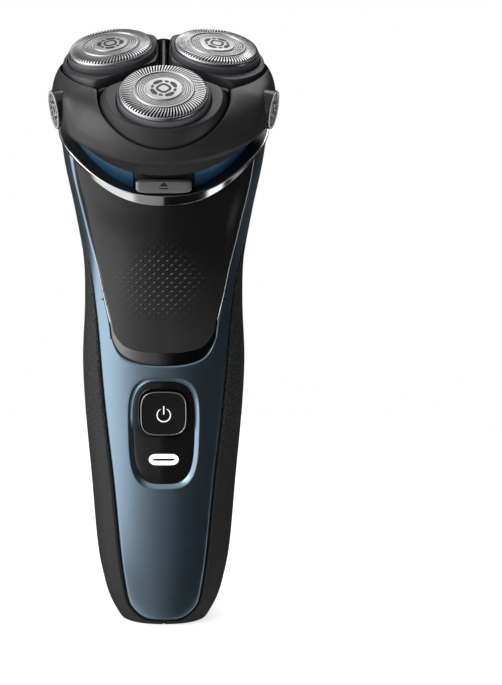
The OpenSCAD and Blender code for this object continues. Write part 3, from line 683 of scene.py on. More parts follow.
def blue_shell():
    """Open outer sheet of the blue shell, in (row, w): rows run from its lower edge (0) to the
    panel's trim (1) and the collar (2), w from the seams (-2, 2) to the panel's edges (-1, 1).
    Near the seams and the lower edge the skin rolls inwards. A stack of rings round the controls
    joins the sheet to the chamfered opening."""
    gap = 0.16
    w_side = 1 + (1 - (1 - np.linspace(0, 1, 15)) ** 1.7)
    w_mid = np.linspace(-1, 1, 57)
    w = np.concatenate([-w_side[::-1], w_mid[1:-1], w_side])
    low_rows = np.linspace(0, 1, 22) ** 2 * 0.12
    rows_low = np.concatenate([low_rows, np.linspace(0.12, 1, 84)[1:]])
    rows_high = np.linspace(1, 2, 58)

    def points(row, w):
        row, w = np.broadcast_arrays(row, w)
        q = np.where(np.abs(w) < 1, np.abs(w) * 0.86, 0.86 + 0.14 * (np.abs(w) - 1))
        low = BLUE_LOW + 0.12 + BLUE_CORNER * q**4
        s = np.where(row < 1, mix(low, trim_edge(w), row), mix(trim_edge(w), TOP_S, row - 1))
        side = curve(s, PANEL_EDGE)
        mm_per_degree = curve(s, HALF_DEPTH) * np.pi / 180 * 1.25
        edge = seam(s) - gap / mm_per_degree
        angle = np.where(np.abs(w) < 1, w * side, np.sign(w) * mix(side, edge, np.abs(w) - 1))
        to_seam = (edge - np.abs(angle)) * mm_per_degree
        to_low = (s - low)
        roll = 0.75 * np.clip(1 - to_seam / 1.5, 0, 1) ** 2 + 0.5 * np.clip(1 - to_low / 1.3, 0, 1) ** 2
        return skin(s, angle, roll)

    lower = points(rows_low[:, None], w[None, :])
    parts = []
    i0, i1 = np.searchsorted(lower[:, len(w) // 2, 2], [38.6, 71.6])
    j0, j1 = np.searchsorted(lower[(i0 + i1) // 2, :, 0], [-11.4, 11.4])
    quads = grid_quads(*lower.shape[:2])
    row_of, col_of = quads[:, 0] // len(w), quads[:, 0] % len(w)
    hole = (row_of >= i0) & (row_of < i1) & (col_of >= j0) & (col_of < j1)
    parts.append((lower, quads[~hole]))
    loop = np.concatenate([
        lower[i0, j0:j1], lower[i0:i1, j1], lower[i1, j1:j0:-1], lower[i1:i0:-1, j0]])
    theta = np.arctan2(loop[:, 2] - CAPSULE_Z, loop[:, 0])
    rings = []
    reach_x, reach_z = capsule_outline(theta, 1.45)
    for t in np.linspace(0, 1, 9)[:-1]:
        x, z = mix(loop[:, 0], reach_x, t), mix(loop[:, 2], reach_z, t)
        y = loop[:, 1] if t == 0 else face_at(x, z)
        rings.append(np.stack([x, y, z], -1))
    for offset, depth in ((1.45, 0), (1.33, 0.015), (1.2, 0.09), (0.7, 0.5), (0.2, 0.92), (0.08, 1.05),
                          (0.04, 1.3), (0.04, 2.4)):
        x, z = capsule_outline(theta, offset)
        rings.append(np.stack([x, face_at(x, z) + depth, z], -1))
    parts.append((np.array(rings), grid_quads(len(rings), len(loop), wrap_cols=True)[:, ::-1]))
    for sign in (-1, 1):
        strip_w = w_side if sign > 0 else -w_side[::-1]
        strip = points(rows_high[:, None], strip_w[None, :])
        parts.append((strip, grid_quads(*strip.shape[:2])))
    return parts


make_piece("blue_front", blue_shell(), BLUE, "handle", "front_shell", facing=(0, -1, 0), solidify=0.9,
           smooth=50)


# ---------------------------------------------------------------- panel and trim
def panel_grid(edge, side_gap, rows, w, inset=0.0, top=TOP_S):
    """Part of the skin between the panel's side edges, from a lower edge to the collar."""
    s = mix(edge(w), top, rows)
    mm_per_degree = curve(s, HALF_DEPTH) * np.pi / 180 * 1.2
    return skin(s, w * (curve(s, PANEL_EDGE) - side_gap / mm_per_degree), inset)


def edge_inset(w, rows, w_fall, row_fall, depth):
    """Skin depth that rolls a panel's sides and lower edge inwards."""
    sides = np.clip((np.abs(w) - (1 - w_fall)) / w_fall, 0, 1)
    low = np.clip(1 - rows / row_fall, 0, 1)
    return depth * np.maximum(sides, low) ** 2


def trim_piece():
    """Slab below the panel: its outer face shows as a bright line at the sides and a wide
    glossy band under the panel, which slopes inwards towards its lower edge."""
    rows = np.concatenate([np.linspace(0, 0.1, 16), np.linspace(0.1, 1, 60)[1:]])[:, None]
    w = np.concatenate([[-1], np.linspace(-0.985, 0.985, 61), [1]])[None, :]
    edge = lambda w: trim_edge(w) + 0.1
    slope = np.clip(1 - rows / 0.07, 0, 1) * (1 - np.abs(w) ** 8) * 0.3
    outer = panel_grid(edge, 0.1, rows, w, -0.04 + slope + edge_inset(w, rows, 0.012, 0.006, 0.12))
    inner = panel_grid(edge, 0.1, rows, w, 1.0)
    return slab(outer, inner)


def slab(outer, inner):
    """Closed solid between two grids of the same size."""
    rows, cols = outer.shape[:2]
    top = grid_quads(rows, cols)
    count = rows * cols
    ring = np.concatenate([np.arange(cols), np.arange(1, rows) * cols + cols - 1,
                           (rows - 1) * cols + np.arange(cols - 2, -1, -1),
                           np.arange(rows - 2, 0, -1) * cols])
    following = np.roll(ring, -1)
    side = np.stack([ring, ring + count, following + count, following], -1)
    points = np.concatenate([outer.reshape(-1, 3), inner.reshape(-1, 3)])
    return [(points, np.concatenate([top, top[:, ::-1] + count, side]))]


def panel_edge_low(w):
    w = np.abs(w)
    return 77.3 + 3.2 * w**2.2 + 3.6 * w**8


def panel_piece():
    """Raised black panel whose edges roll down to the trim."""
    rows = np.concatenate([np.linspace(0, 1, 9)[:-1] ** 2 * 0.03, np.linspace(0.03, 1, 70)])[:, None]
    side = 1 - (1 - np.linspace(0, 1, 7)[1:]) ** 2 * 0.05
    w = np.concatenate([-side[::-1], np.linspace(-0.95, 0.95, 71)[1:-1], side])
    w = np.unique(np.round(w, 6))[None, :]
    outer = panel_grid(panel_edge_low, 0.62, rows, w, -0.12 + edge_inset(w, rows, 0.03, 0.012, 0.42))
    inner = panel_grid(panel_edge_low, 0.62, rows, w, 0.4)
    return slab(outer, inner)


def studs():
    """Low slanting dashes in staggered rows, tallest at the middle of the field."""
    pitch_x, pitch_z = 2.3, 1.15
    i, j = np.meshgrid(np.arange(-8, 9), np.arange(-11, 12))
    x = ((i + 0.5 * (j % 2)) * pitch_x).ravel()
    z = (95.4 + j * pitch_z).ravel()
    field = smoothstep(1.3 - np.hypot(x / 17, (z - 95.4) / 13) * 1.15)
    keep = field > 0.05
    x, z, field = x[keep], z[keep], field[keep]
    slant = math.radians(24)
    along, across = 0.85, 0.32
    corner = np.array([[-along, 0], [0, -across], [along, 0], [0, across]])
    corner = corner @ np.array([[math.cos(slant), math.sin(slant)], [-math.sin(slant), math.cos(slant)]])
    px, pz = x[:, None] + corner[:, 0], z[:, None] + corner[:, 1]
    base = np.stack([px, face_at(px, pz) - 0.1, pz], -1)
    tip = np.stack([x, face_at(x, z) - 0.12 - 0.2 * field, z], -1)[:, None, :]
    under = np.stack([x, face_at(x, z) + 0.3, z], -1)[:, None, :]
    points = np.concatenate([base, tip, under], 1)
    one = np.array([[0, 1, 4], [1, 2, 4], [2, 3, 4], [3, 0, 4], [1, 0, 5], [2, 1, 5], [3, 2, 5], [0, 3, 5]])
    faces = (one[None] + 6 * np.arange(len(x))[:, None, None]).reshape(-1, 3)
    return [(points, faces)]


make_piece("panel_trim_band", trim_piece(), DARK_CHROME, "handle", "panel_trim", smooth=40)
make_piece("panel_face", panel_piece(), PANEL, "handle", "front_panel", smooth=50)
make_piece("panel_studs", studs(), PANEL, "handle", smooth=5)


def edge_lines():
    """Thin bright bead along each side of the panel."""
    parts = []
    for sign in (-1, 1):
        s = np.linspace(84.5, TOP_S - 0.3, 90)
        mm_per_degree = curve(s, HALF_DEPTH) * np.pi / 180 * 1.2
        across = np.array([-0.2, -0.12, 0.12, 0.2, 0.2, -0.2])
        lift = np.array([0.0, -0.11, -0.11, 0.0, 0.3, 0.3])
        angle = curve(s, PANEL_EDGE) - 0.32 / mm_per_degree
        fade = smoothstep((s - 84.5) / 4)[:, None]
        grid = skin(s[:, None], sign * (angle[:, None] + across / mm_per_degree[:, None]),
                    lift - 0.02 + 0.2 * (1 - fade))
        quads = grid_quads(*grid.shape[:2], wrap_cols=True)
        ends = [list(range(6)), list(range(len(s) * 6 - 6, len(s) * 6))]
        parts.append((grid, [*quads.tolist(), *ends]))
    return parts


make_piece("panel_edge_lines", edge_lines(), SILVER_LINE, "handle")


# ---------------------------------------------------------------- rear shell
def rear_shell_parts():
    """Closed wall from seam to seam round the back, with a rolled edge at the seam, and its base."""
    gap = 0.16
    heights = np.concatenate([[0, 0.12, 0.35], np.linspace(0.7, 9, 34), np.linspace(9, TOP_S, 120)[1:]])
    k = np.concatenate([np.linspace(0, 0.03, 7), np.linspace(0.03, 0.97, 110)[1:-1], np.linspace(0.97, 1, 7)])
    s, k = heights[:, None], k[None, :]
    mm_per_degree = curve(s, HALF_DEPTH) * np.pi / 180 * 1.25
    edge = seam(s) + gap / mm_per_degree
    angle = mix(edge, 360 - edge, k)
    to_seam = np.minimum(angle - edge, 360 - edge - angle) * mm_per_degree
    foot = 0.45 * np.clip(1 - s / 0.5, 0, 1) ** 2
    roll = 0.28 * np.clip(1 - to_seam / 0.5, 0, 1) ** 2 * np.where(s > BLUE_LOW, 1, 0) + foot
    outer = skin(s, angle, roll)
    inner = skin(s, angle, 1.7)
    a = np.linspace(0, 360, 97)[:-1]
    rim = skin(0, a, 0.9)
    low, high = rim.copy(), rim.copy()
    low[:, 2], high[:, 2] = 0, 1.25
    return slab(outer, inner), prism(low, high)


def box_part(low, high):
    """Eight corners and six faces."""
    x, y, z = zip(low, high)
    points = np.array([[x[i], y[j], z[k]] for i in (0, 1) for j in (0, 1) for k in (0, 1)], float)
    return points, [[0, 1, 3, 2], [4, 6, 7, 5], [0, 4, 5, 1], [2, 3, 7, 6], [0, 2, 6, 4], [1, 5, 7, 3]]


def rod_part(x, z, y0, y1, radius, sides=40):
    """Round rod along y."""
    a = np.linspace(0, 2 * np.pi, sides, endpoint=False)
    return prism(*[np.stack([x + radius * np.cos(a), y + 0 * a, z + radius * np.sin(a)], -1) for y in (y0, y1)])


def slot_part(width, depth, y, z0, z1, sides=40):
    """Upright prism with round ends, for the charging inlet."""
    a = np.linspace(0, 2 * np.pi, sides, endpoint=False)
    x = depth / 2 * np.cos(a) + np.sign(np.cos(a)) * (width - depth) / 2
    return prism(*[np.stack([x, y + depth / 2 * np.sin(a), z + 0 * a], -1) for z in (z0, z1)])


TRIMMER_Y, TRIMMER_Z, TRIMMER_LEAN, TRIMMER_LEN, TRIMMER_W = 14.1, 66.0, 5.0, 34.0, 21.0
SCREWS = [(-10.5, 18.0), (10.5, 18.0), (-15.5, 100.0), (15.5, 100.0)]


def back_point(x, s):
    """Point on the back of the skin at section s and sideways distance x."""
    n, lean = float(curve(s, SQUARENESS)), math.radians(float(curve(s, SECTION_TILT)))
    out = float(curve(s, HALF_DEPTH)) * (1 - abs(x / float(curve(s, HALF_WIDTH))) ** n) ** (1 / n)
    return x, float(curve(s, CENTRE_Y)) + out * math.cos(lean), s + out * math.sin(lean)


wall_part, base_part = rear_shell_parts()
rear = make_piece("grip_shell", wall_part, GRIP, "handle", "rear_shell", smooth=40)
base = make_piece("grip_base", [base_part], GRIP, "handle", smooth=40)


def trimmer_box(low, high):
    points, faces = box_part(low, high)
    return points @ turn_x(-TRIMMER_LEAN).T + [0, TRIMMER_Y, TRIMMER_Z], faces


cutters = [
    loose("cut_trimmer", [trimmer_box((-TRIMMER_W / 2 - 1.5, -3.9, -4.9),
                                      (TRIMMER_W / 2 + 1.5, 20, TRIMMER_LEN + 4.9))]),
    loose("cut_slider", [box_part((-4.3, 8, 40.7), (4.3, 28, 53.3))]),
]
for x, s in SCREWS:
    px, py, pz = back_point(x, s)
    cutters.append(loose("cut_screw", [rod_part(px, pz, 0, 40, 1.15)]))
    cutters.append(loose("cut_screw_head", [rod_part(px, pz, py - 2.6, 40, 2.3)]))
carve(rear, cutters)
carve(base, [loose("cut_inlet", [slot_part(11, 6.8, 4.2, -2, 8)])])
for one in (rear, base):
    finish_shading(one, 35)

# ---------------------------------------------------------------- collar
AZIMUTHS = np.linspace(0, 360, 288, endpoint=False)
GEAR_ORBIT, BORE_R = 15.5, 1.3
HINGE_Y, HINGE_H = 27.3, -17.6
RING_R = 28.86


def around(azimuth, radius, height):
    """Points in the head's frame from azimuth (degrees from the front), radius and height."""
    a = np.radians(azimuth)
    radius, height, a = np.broadcast_arrays(radius, height, a)
    return np.stack([radius * np.sin(a), -radius * np.cos(a), height], -1)


def rim_heights(azimuth):
    """Lower and upper edge of the bright ring."""
    lift = rim_lift(azimuth)
    return -26.95 + RIM_RISE * lift, -24.1 + RIM_TOP_RISE * lift


def swept(section, azimuth=AZIMUTHS):
    """Closed band from a list of (radius, height) columns, each height an array over azimuth."""
    columns = [around(azimuth, r, h) for r, h in section]
    grid = np.array(columns).transpose(1, 0, 2)
    return grid, grid_quads(*grid.shape[:2], wrap_rows=len(azimuth) == len(AZIMUTHS), wrap_cols=True)


low_rim, high_rim = rim_heights(AZIMUTHS)
make_piece("collar_bright_ring", [head_part(swept([
    (27.45, low_rim + 0.5), (28.3, low_rim - 0.05), (28.66, low_rim), (28.8, low_rim + 0.07),
    (28.85, low_rim + 0.16), (RING_R, low_rim + 0.22), (RING_R, low_rim + 0.27), (RING_R, high_rim - 0.27),
    (RING_R, high_rim - 0.22), (28.84, high_rim - 0.15), (28.76, high_rim - 0.05), (28.64, high_rim),
    (27.7, high_rim - 0.02), (27.45, high_rim - 0.3)]))],
    CHROME, "handle", "collar_ring", smooth=40)

deck_in = -24.6 + LEDGE_RISE * rim_lift(AZIMUTHS)
make_piece("collar_ledge", [head_part(swept([
    (28.55, high_rim - 0.6), (28.42, high_rim + 0.02), (28.3, high_rim + 0.07), (28.0, high_rim + 0.05),
    (26.3, mix(high_rim, deck_in, 0.85)), (25.95, deck_in), (25.8, deck_in - 0.06), (25.7, deck_in - 0.25),
    (25.68, -26.4 + 0 * AZIMUTHS), (27.3, -26.4 + 0 * AZIMUTHS)]))], DECK, "handle", "collar_deck", smooth=40)


def deck_disc():
    """Inner deck under the hair chamber, closed at the middle."""
    return lathe([(0, -23.1), (25.0, -23.1), (25.0, -21.8), (0, -21.8)], 96)


def spindle_bore():
    """Rod that cuts the deck where a spindle passes."""
    a = np.linspace(0, 2 * np.pi, 40, endpoint=False)
    x, y = BORE_R * np.cos(a), BORE_R * np.sin(a) - GEAR_ORBIT
    return prism(*[np.stack([x, y, h + 0 * a], -1) for h in (-27, -15)])


disc = make_piece("collar_disc", [head_part(deck_disc())], DECK, "handle", smooth=40)
carve(disc, [loose("cut_bore", [head_part(spindle_bore(), i)]) for i in (1, 2, 3)])
finish_shading(disc, 35)


def hinge_ear(x0, x1):
    """Upright tab with a round top that carries the hinge pin."""
    a = np.radians(np.linspace(0, 180, 17))
    top = zip(-1.6 * np.cos(a), HINGE_H + 1.6 * np.sin(a))
    y, h = np.array([(-1.6, -23.5), *top, (1.6, -23.5)]).T
    return prism(*[np.stack([x + 0 * y, HINGE_Y + y, h], -1) for x in (x0, x1)])


make_piece("collar_ears", [head_part(hinge_ear(5.4, 8.0)), head_part(hinge_ear(-8.0, -5.4))], DECK, "handle",
           bevel=0.2)
softened("hair_chamber", 0.15, CHAMBER)


def open_band(section, azimuth):
    """Closed band from (radius, height) pairs over part of a turn, with flat ends."""
    grid, quads = swept([(r, h + 0 * azimuth) for r, h in section], azimuth)
    rows, count = grid.shape[:2]
    return grid, [*quads.tolist(), list(range(count)), list(range((rows - 1) * count, rows * count))]


# Blue wall seen below the cover, broken at the front by the black wall behind the release button.
make_piece("chamber_wall", [head_part(open_band(
    [(25.05, -24.4), (25.5, -24.4), (25.55, -24.2), (25.55, -16.2), (25.5, -16.0), (25.05, -16.0)],
    np.linspace(18.3, 341.7, 240)))], CHAMBER, "handle")
make_piece("latch_wall", [head_part(open_band(
    [(24.2, -25), (25.1, -25), (25.25, -24.85), (25.25, -17.15), (25.1, -17), (24.2, -17)],
    np.linspace(-17.9, 17.9, 40)))], DECK, "handle")

# ---------------------------------------------------------------- shaving head cover
# Outline of the cover from its top to its crease as (radius, height): at the front and back, and
# at the sides, which are fuller.
DOME = np.array([(16, -3.1), (19, -3.5), (21.5, -3.95), (23.5, -4.5), (25.2, -5.3), (26.7, -6.4), (27.9, -7.6),
                 (28.9, -8.7), (29.8, -9.9), (30.4, -11.3), (30.7, -12.5), (30.45, -13.6), (29.8, -14.4),
                 (28.4, -15.4)])
SIDE_DOME = np.array([(16, -3.1), (19, -3.3), (21.5, -3.45), (23.5, -3.6), (25.2, -3.8), (26.6, -4.1),
                      (27.8, -4.6), (28.7, -5.4), (29.4, -6.7), (29.9, -8.6), (30.2, -11.0), (30.2, -13.0),
                      (29.7, -14.3), (28.4, -15.4)])
HOLDER_ORBIT, HOLDER_R, OPENING_R = 12.5, 16.6, 17.1


def dome_path(azimuth, samples=400):
    """Cover's outline from top to rim at each azimuth, as smooth curves with the length along
    them. The cover is fuller at its sides, where the emblems sit."""
    away = np.abs((azimuth + 180) % 360 - 180)
    side = (smoothstep((away - 46) / 20) * (1 - smoothstep((away - 118) / 34)))[:, None]
    place = np.arange(len(DOME), dtype=float)
    t = np.linspace(0, len(DOME) - 1, samples)
    r, h = [mix(*[curve(t, np.stack([place, dome[:, k]], -1))[None] for dome in (DOME, SIDE_DOME)], side)
            for k in (0, 1)]
    steps = np.hypot(np.diff(r, axis=1), np.diff(h, axis=1))
    return r, h, np.concatenate([0 * side, np.cumsum(steps, 1)], 1)


def sample_rows(wanted, keys, values):
    """Each row's values at the wanted keys, found between that row's rising keys."""
    index = np.array([np.searchsorted(row, want) for row, want in zip(keys, wanted)])
    index = np.clip(index, 1, keys.shape[1] - 1)
    k0, k1 = np.take_along_axis(keys, index - 1, 1), np.take_along_axis(keys, index, 1)
    v0, v1 = np.take_along_axis(values, index - 1, 1), np.take_along_axis(values, index, 1)
    share = np.clip((wanted - k0) / np.maximum(k1 - k0, 1e-9), 0, 1)
    return mix(v0, v1, share)


def opening_radius(azimuth):
    """Distance from the head's axis to the cover's opening for the holders."""
    alpha = (azimuth + 60) % 120 - 60
    beta = np.sqrt((60 - np.abs(alpha)) ** 2 + 2.2**2)
    alpha = np.radians(60 - beta)
    return (HOLDER_ORBIT * np.cos(alpha)
            + np.sqrt(OPENING_R**2 - HOLDER_ORBIT**2 * np.sin(alpha) ** 2))


def cover_grid():
    """Closed cross-section carried round the head: gap floor and wall, rounded edge, dome, crease,
    lip and the inside. The edge climbs the dome as the opening comes nearer to the axis, and the
    crease and the lip climb with the collar's rim."""
    tips = (np.array([[60], [180], [300]]) + np.linspace(-3, 3, 25)).ravel()
    azimuth = np.unique(np.round(np.concatenate([np.arange(0, 360, 0.75), tips]), 4))
    dome_r, dome_h, length = dome_path(azimuth)
    rising = np.maximum.accumulate(dome_r, axis=1) + np.arange(dome_r.shape[1]) * 1e-7
    edge_r = np.minimum(opening_radius(azimuth), 30.0)
    start = sample_rows(edge_r[:, None], rising, length)
    share = np.concatenate([[0.0], np.linspace(0.02, 1, 44)])[None]
    along = start + 0.32 + (length[:, -1:] - start - 0.32) * share
    r, h = sample_rows(along, length, dome_r), sample_rows(along, length, dome_h)
    edge_h = sample_rows(start, length, dome_h)[:, 0]
    lift = rim_lift(azimuth)[:, None]
    away = np.abs((azimuth + 180) % 360 - 180)[:, None]
    sink = 2.5 * smoothstep((away - 145) / 35)

    def sunk(r, h, sink):
        return sink * smoothstep((r - 19) / 5) * smoothstep((h + 12) / 4)

    h = h + 1.6 * lift * smoothstep((-10.5 - h) / 4.9) - sunk(r, h, sink)
    edge_h = edge_h - sunk(edge_r, edge_h, sink[:, 0])
    crease = -15.4 + 1.6 * lift
    bottom = -18.9 + 3.6 * lift + 1.7 * smoothstep((away - 95) / 45)
    inner_r = np.minimum(23.4, edge_r - 0.2)
    rows = [(inner_r, -12.9), (inner_r, -12.2), (edge_r, -12.2), (edge_r, np.maximum(edge_h - 0.42, -12.0)),
            (edge_r + 0.07, np.maximum(edge_h - 0.14, -11.9))]
    front = np.stack([np.stack(np.broadcast_arrays(a, b + 0 * edge_r), -1) for a, b in rows], 1)
    lip = [(28.1, crease - 0.35), (27.15, bottom + 0.25), (27.0, bottom + 0.06), (26.8, bottom),
           (26.1, bottom), (25.95, bottom + 0.15), (25.9, -12.9 + 0 * crease)]
    lip = np.concatenate([np.stack([r0 + 0 * h0, h0], -1) for r0, h0 in lip], 1)
    section = np.concatenate([front, np.stack([r, h], -1), lip], 1)
    grid = around(azimuth[:, None], section[..., 0], section[..., 1])
    return grid, grid_quads(*grid.shape[:2], wrap_rows=True, wrap_cols=True)


cover_piece = make_piece("head_cover_shell", [head_part(cover_grid())], HEAD, "shaving_unit",
                         smooth=38, weld=0.0005)


def carried_hinge():
    """The cover's hinge knuckle, which the grid leaves out."""
    part = hoop(0.86, 1.6, -4.9, 4.9, 0.15, 40)
    points = part[0][..., [2, 0, 1]] + [0, HINGE_Y, HINGE_H]
    web = box_part((-4.8, 25.9, -17.4), (4.8, 27.6, -15.2))
    return [(in_head(points), part[1]), head_part(web)]


make_piece("head_hinge_knuckle", carried_hinge(), HEAD, "shaving_unit")
ear_cuts = [loose("cut_ear", [head_part(box_part((x, 24, -20), (x + 3.6, 32, -14.8)))]) for x in (-8.5, 4.9)]
carve(cover_piece, ear_cuts)
finish_shading(cover_piece, 38)
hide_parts("head_cover")


# ---------------------------------------------------------------- flexing holders
def ray_reach(start, way, centre, radius):
    """Distance from start along each direction to a circle that surrounds it."""
    g = start - centre
    along = way @ g
    return -along + np.sqrt(along**2 - g @ g + radius**2)


SECTOR_GAP = 1.3


def holder_outline(psi):
    """Reach from the guard's centre to the holder's edge and to its crease. The edge is a circle
    about the holder's own centre and two straight sector sides, joined by small rounded corners."""
    centre = np.array([0, -16.15])
    way = np.stack([np.sin(psi), -np.cos(psi)], -1)
    sides = []
    for sign in (-1, 1):
        normal = np.array([sign * 0.5, math.sqrt(0.75)])
        towards = way @ normal
        room = -SECTOR_GAP - centre @ normal
        sides.append(np.where(towards > 0.02, room / np.maximum(towards, 0.02), 900))
    circle = ray_reach(centre, way, np.array([0, -HOLDER_ORBIT]), HOLDER_R)
    crease = ray_reach(centre, way, np.array([0, -14.5]), 15.0)

    def joined(*reaches):
        return (np.array(reaches) ** -26.0).sum(0) ** (-1 / 26)

    reach = joined(circle, *sides)
    straight = smoothstep((reach / circle - 0.94) / 0.06)
    inner = joined(np.minimum(crease, circle - 0.35), *[side * 0.94 for side in sides])
    return centre, way, reach, np.minimum(inner, reach - 0.32), 1 - straight


def holder_grid():
    """Closed band about the guard: bore, flat plateau, a crease, a steep rounded fall to the
    gap, wall and underside. The plateau lies parallel to the guard."""
    psi = np.linspace(0, 2 * np.pi, 720, endpoint=False)
    centre, way, reach, crease, straight = holder_outline(psi)
    tilt = math.radians(GUARD_TILT)
    bore_r = GUARD_R + 0.72
    bore = centre + np.stack([bore_r * np.sin(psi), -bore_r * np.cos(psi) * math.cos(tilt)], -1)
    outer = centre + way * reach[:, None]
    plateau = -2.9 / math.cos(tilt)

    def top(xy):
        return (xy[:, 1] + GUARD_ORBIT) * math.tan(tilt) + plateau

    edge_h = mix(-10.9, -6.5, smoothstep(straight))
    inset = reach - crease
    rows = []

    def add(xy, h):
        rows.append(np.concatenate([xy, np.broadcast_to(h, len(xy))[:, None]], -1))

    room = reach - np.linalg.norm(bore - centre, axis=1)
    inset = np.minimum(inset, room * 0.5)
    add(bore, top(bore) - 6.0)
    for out, drop in ((0.0, 0.4), (0.07, 0.16), (0.2, 0.04), (0.42, 0.0)):
        xy = bore + way * np.minimum(out, room * 0.3)[:, None]
        add(xy, top(xy) - drop)
    start = outer - way * (inset + 0.2)[:, None]
    for t in (0.35, 0.7, 1.0):
        xy = mix(bore + way * 0.42, start, t)
        add(xy, top(xy))
    ridge = outer - way * inset[:, None]
    ridge_h = top(ridge) - 0.03
    a0 = math.radians(30)
    drop = np.minimum(ridge_h - edge_h, 3.2 + 1.4 * straight)
    for t in np.linspace(0.0, 1, 13):
        a = a0 + (math.pi / 2 - a0) * t
        share = (math.sin(a) - math.sin(a0)) / (1 - math.sin(a0))
        fall = (math.cos(a0) - math.cos(a)) / math.cos(a0)
        add(ridge + way * (inset * share)[:, None], ridge_h - 0.02 - drop * fall)
    low = np.minimum(edge_h, ridge_h - drop - 0.2)
    under = -9.15
    for inwards, h in ((0.02, low), (0.15, low - 0.12), (0.5, low - 0.15), (1.2, np.minimum(low - 0.15, under)),
                       (2.0, under)):
        add(outer - way * inwards, h)
    add(bore, under)
    grid = np.array(rows).transpose(1, 0, 2)
    return grid, grid_quads(*grid.shape[:2], wrap_rows=True, wrap_cols=True)


def ribs():
    """Low rib along the middle of each gap between two holders, on a wider foot."""
    along = np.array([2.0, 2.4, 8, 14, 18.6, 19.3, 19.5])
    top = np.array([-4.6, -4.2, -4.2, -4.0, -3.8, -4.1, -4.6])
    u = np.array([-0.9, -0.9, -0.55, -0.55, -0.3, 0.3, 0.55, 0.55, 0.9, 0.9])
    drop = np.array([0, 0, 0, 0.22, 0.0, 0.0, 0.22, 0, 0, 0])
    fixed = np.array([-9.4, -6.9, -6.7, 0, 0, 0, 0, -6.7, -6.9, -9.4])
    parts = []
    for k in range(3):
        h = np.where(fixed[None] < 0, fixed[None], top[:, None] - drop[None])
        grid = np.stack([u[None] + 0 * h, along[:, None] + 0 * h, h], -1)
        ends = [list(range(10)), list(range(60, 70))]
        faces = [*grid_quads(7, 10, wrap_cols=True).tolist(), *ends]
        parts.append((in_head(grid @ turn_z(120 * k).T), faces))
    return parts


make_piece("holder_ribs", ribs(), HEAD, "shaving_unit", smooth=30)
for i in (1, 2, 3):
    make_piece(f"holder_{i}_cap", [head_part(holder_grid(), i)], HEAD, f"holder_{i}", f"head_holder_{i}",
               smooth=24)

# ---------------------------------------------------------------- skirts and guards
skirt_profile = closed_rounded([
    (11.43, -1.5), (11.7, -1.42), (11.93, -1.8), (11.96, -4.6), (12.02, -4.9), (12.02, -6.2), (10.9, -6.2),
    (10.9, -3.1), (11.43, -3.05)], 0.16)
rim_profile = closed_rounded([
    (11.4, -3.0), (11.4, -0.95), (11.22, -0.62), (11.02, -0.6), (10.98, -1.1), (10.98, -3.0)], 0.12)


def hub_profile():
    """Cap, fine concentric grooves and a raised polished ring, from the axis outwards."""
    groove_r = np.linspace(4.95, 7.05, 64)
    groove_h = 0.09 + 0.03 * np.cos((groove_r - 5.2) / 0.55 * 2 * np.pi)
    top = [(0, 0.36), (4.2, 0.34), (4.62, 0.3), (4.74, 0.2), (4.8, 0.05)]
    top += list(zip(groove_r, groove_h))
    top += [(7.18, 0.02), (7.26, 0.16), (7.36, 0.24), (7.62, 0.24), (7.74, 0.16), (7.84, 0.0), (7.86, -0.5)]
    return top + [(7.7, -0.6), (0, -0.6)]


def bars(count=80):
    """Slanted bars between the hub and the rim: flat on top, rolled down at the outer end."""
    stations = np.array([7.8, 8.6, 9.6, 10.4, 10.8, 11.05, 11.2])
    tops = np.array([0.0, 0.0, -0.01, -0.05, -0.16, -0.36, -0.62])
    start = 2 * np.pi * np.arange(count)[:, None] / count
    middle = start + (stations - 7.8) / 3.4 * 0.085
    half = 0.22 * 2 * np.pi / count
    angle = np.stack([middle - half, middle - half * 0.72, middle + half * 0.72, middle + half,
                      middle + half, middle - half], -1)
    height = np.stack([tops - 0.07, tops, tops, tops - 0.07, tops * 0 - 0.8, tops * 0 - 0.8], -1)
    height = np.minimum(height, tops[:, None])
    r = stations[None, :, None] + 0 * angle
    grid = np.stack([r * np.sin(angle), r * np.cos(angle), height[None] + 0 * angle], -1)
    quads = grid_quads(len(stations), 6, wrap_cols=True)
    ends = np.array([[0, 1, 2, 3], [0, 3, 4, 5]])
    ends = np.concatenate([ends, ends[:, ::-1] + (len(stations) - 1) * 6])
    one = np.concatenate([quads, ends])
    faces = (one[None] + len(stations) * 6 * np.arange(count)[:, None, None]).reshape(-1, 4)
    return grid, faces


def arc_plate(r0, r1, a0, a1, h0, h1, steps=10):
    """Flat curved plate between two radii and two angles in degrees, with round-looking ends."""
    a = np.radians(np.linspace(a0, a1, steps))
    end = np.sin(np.linspace(0, np.pi, steps)) ** 0.35
    mid, half = (r0 + r1) / 2, (r1 - r0) / 2 * (0.35 + 0.65 * end)
    ring_in = np.stack([(mid - half) * np.cos(a), (mid - half) * np.sin(a)], -1)
    ring_out = np.stack([(mid + half) * np.cos(a), (mid + half) * np.sin(a)], -1)
    outline = np.concatenate([ring_in, ring_out[::-1]])
    count = len(outline)
    low, high = [np.concatenate([outline, np.full((count, 1), h)], -1) for h in (h0, h1)]
    quads = grid_quads(2, count, wrap_cols=True).tolist()
    strips = [[k, k + 1, count - 2 - k, count - 1 - k] for k in range(steps - 1)]
    caps = strips + [[k + count for k in f[::-1]] for f in strips]
    return np.concatenate([low, high]), [*quads, *caps]


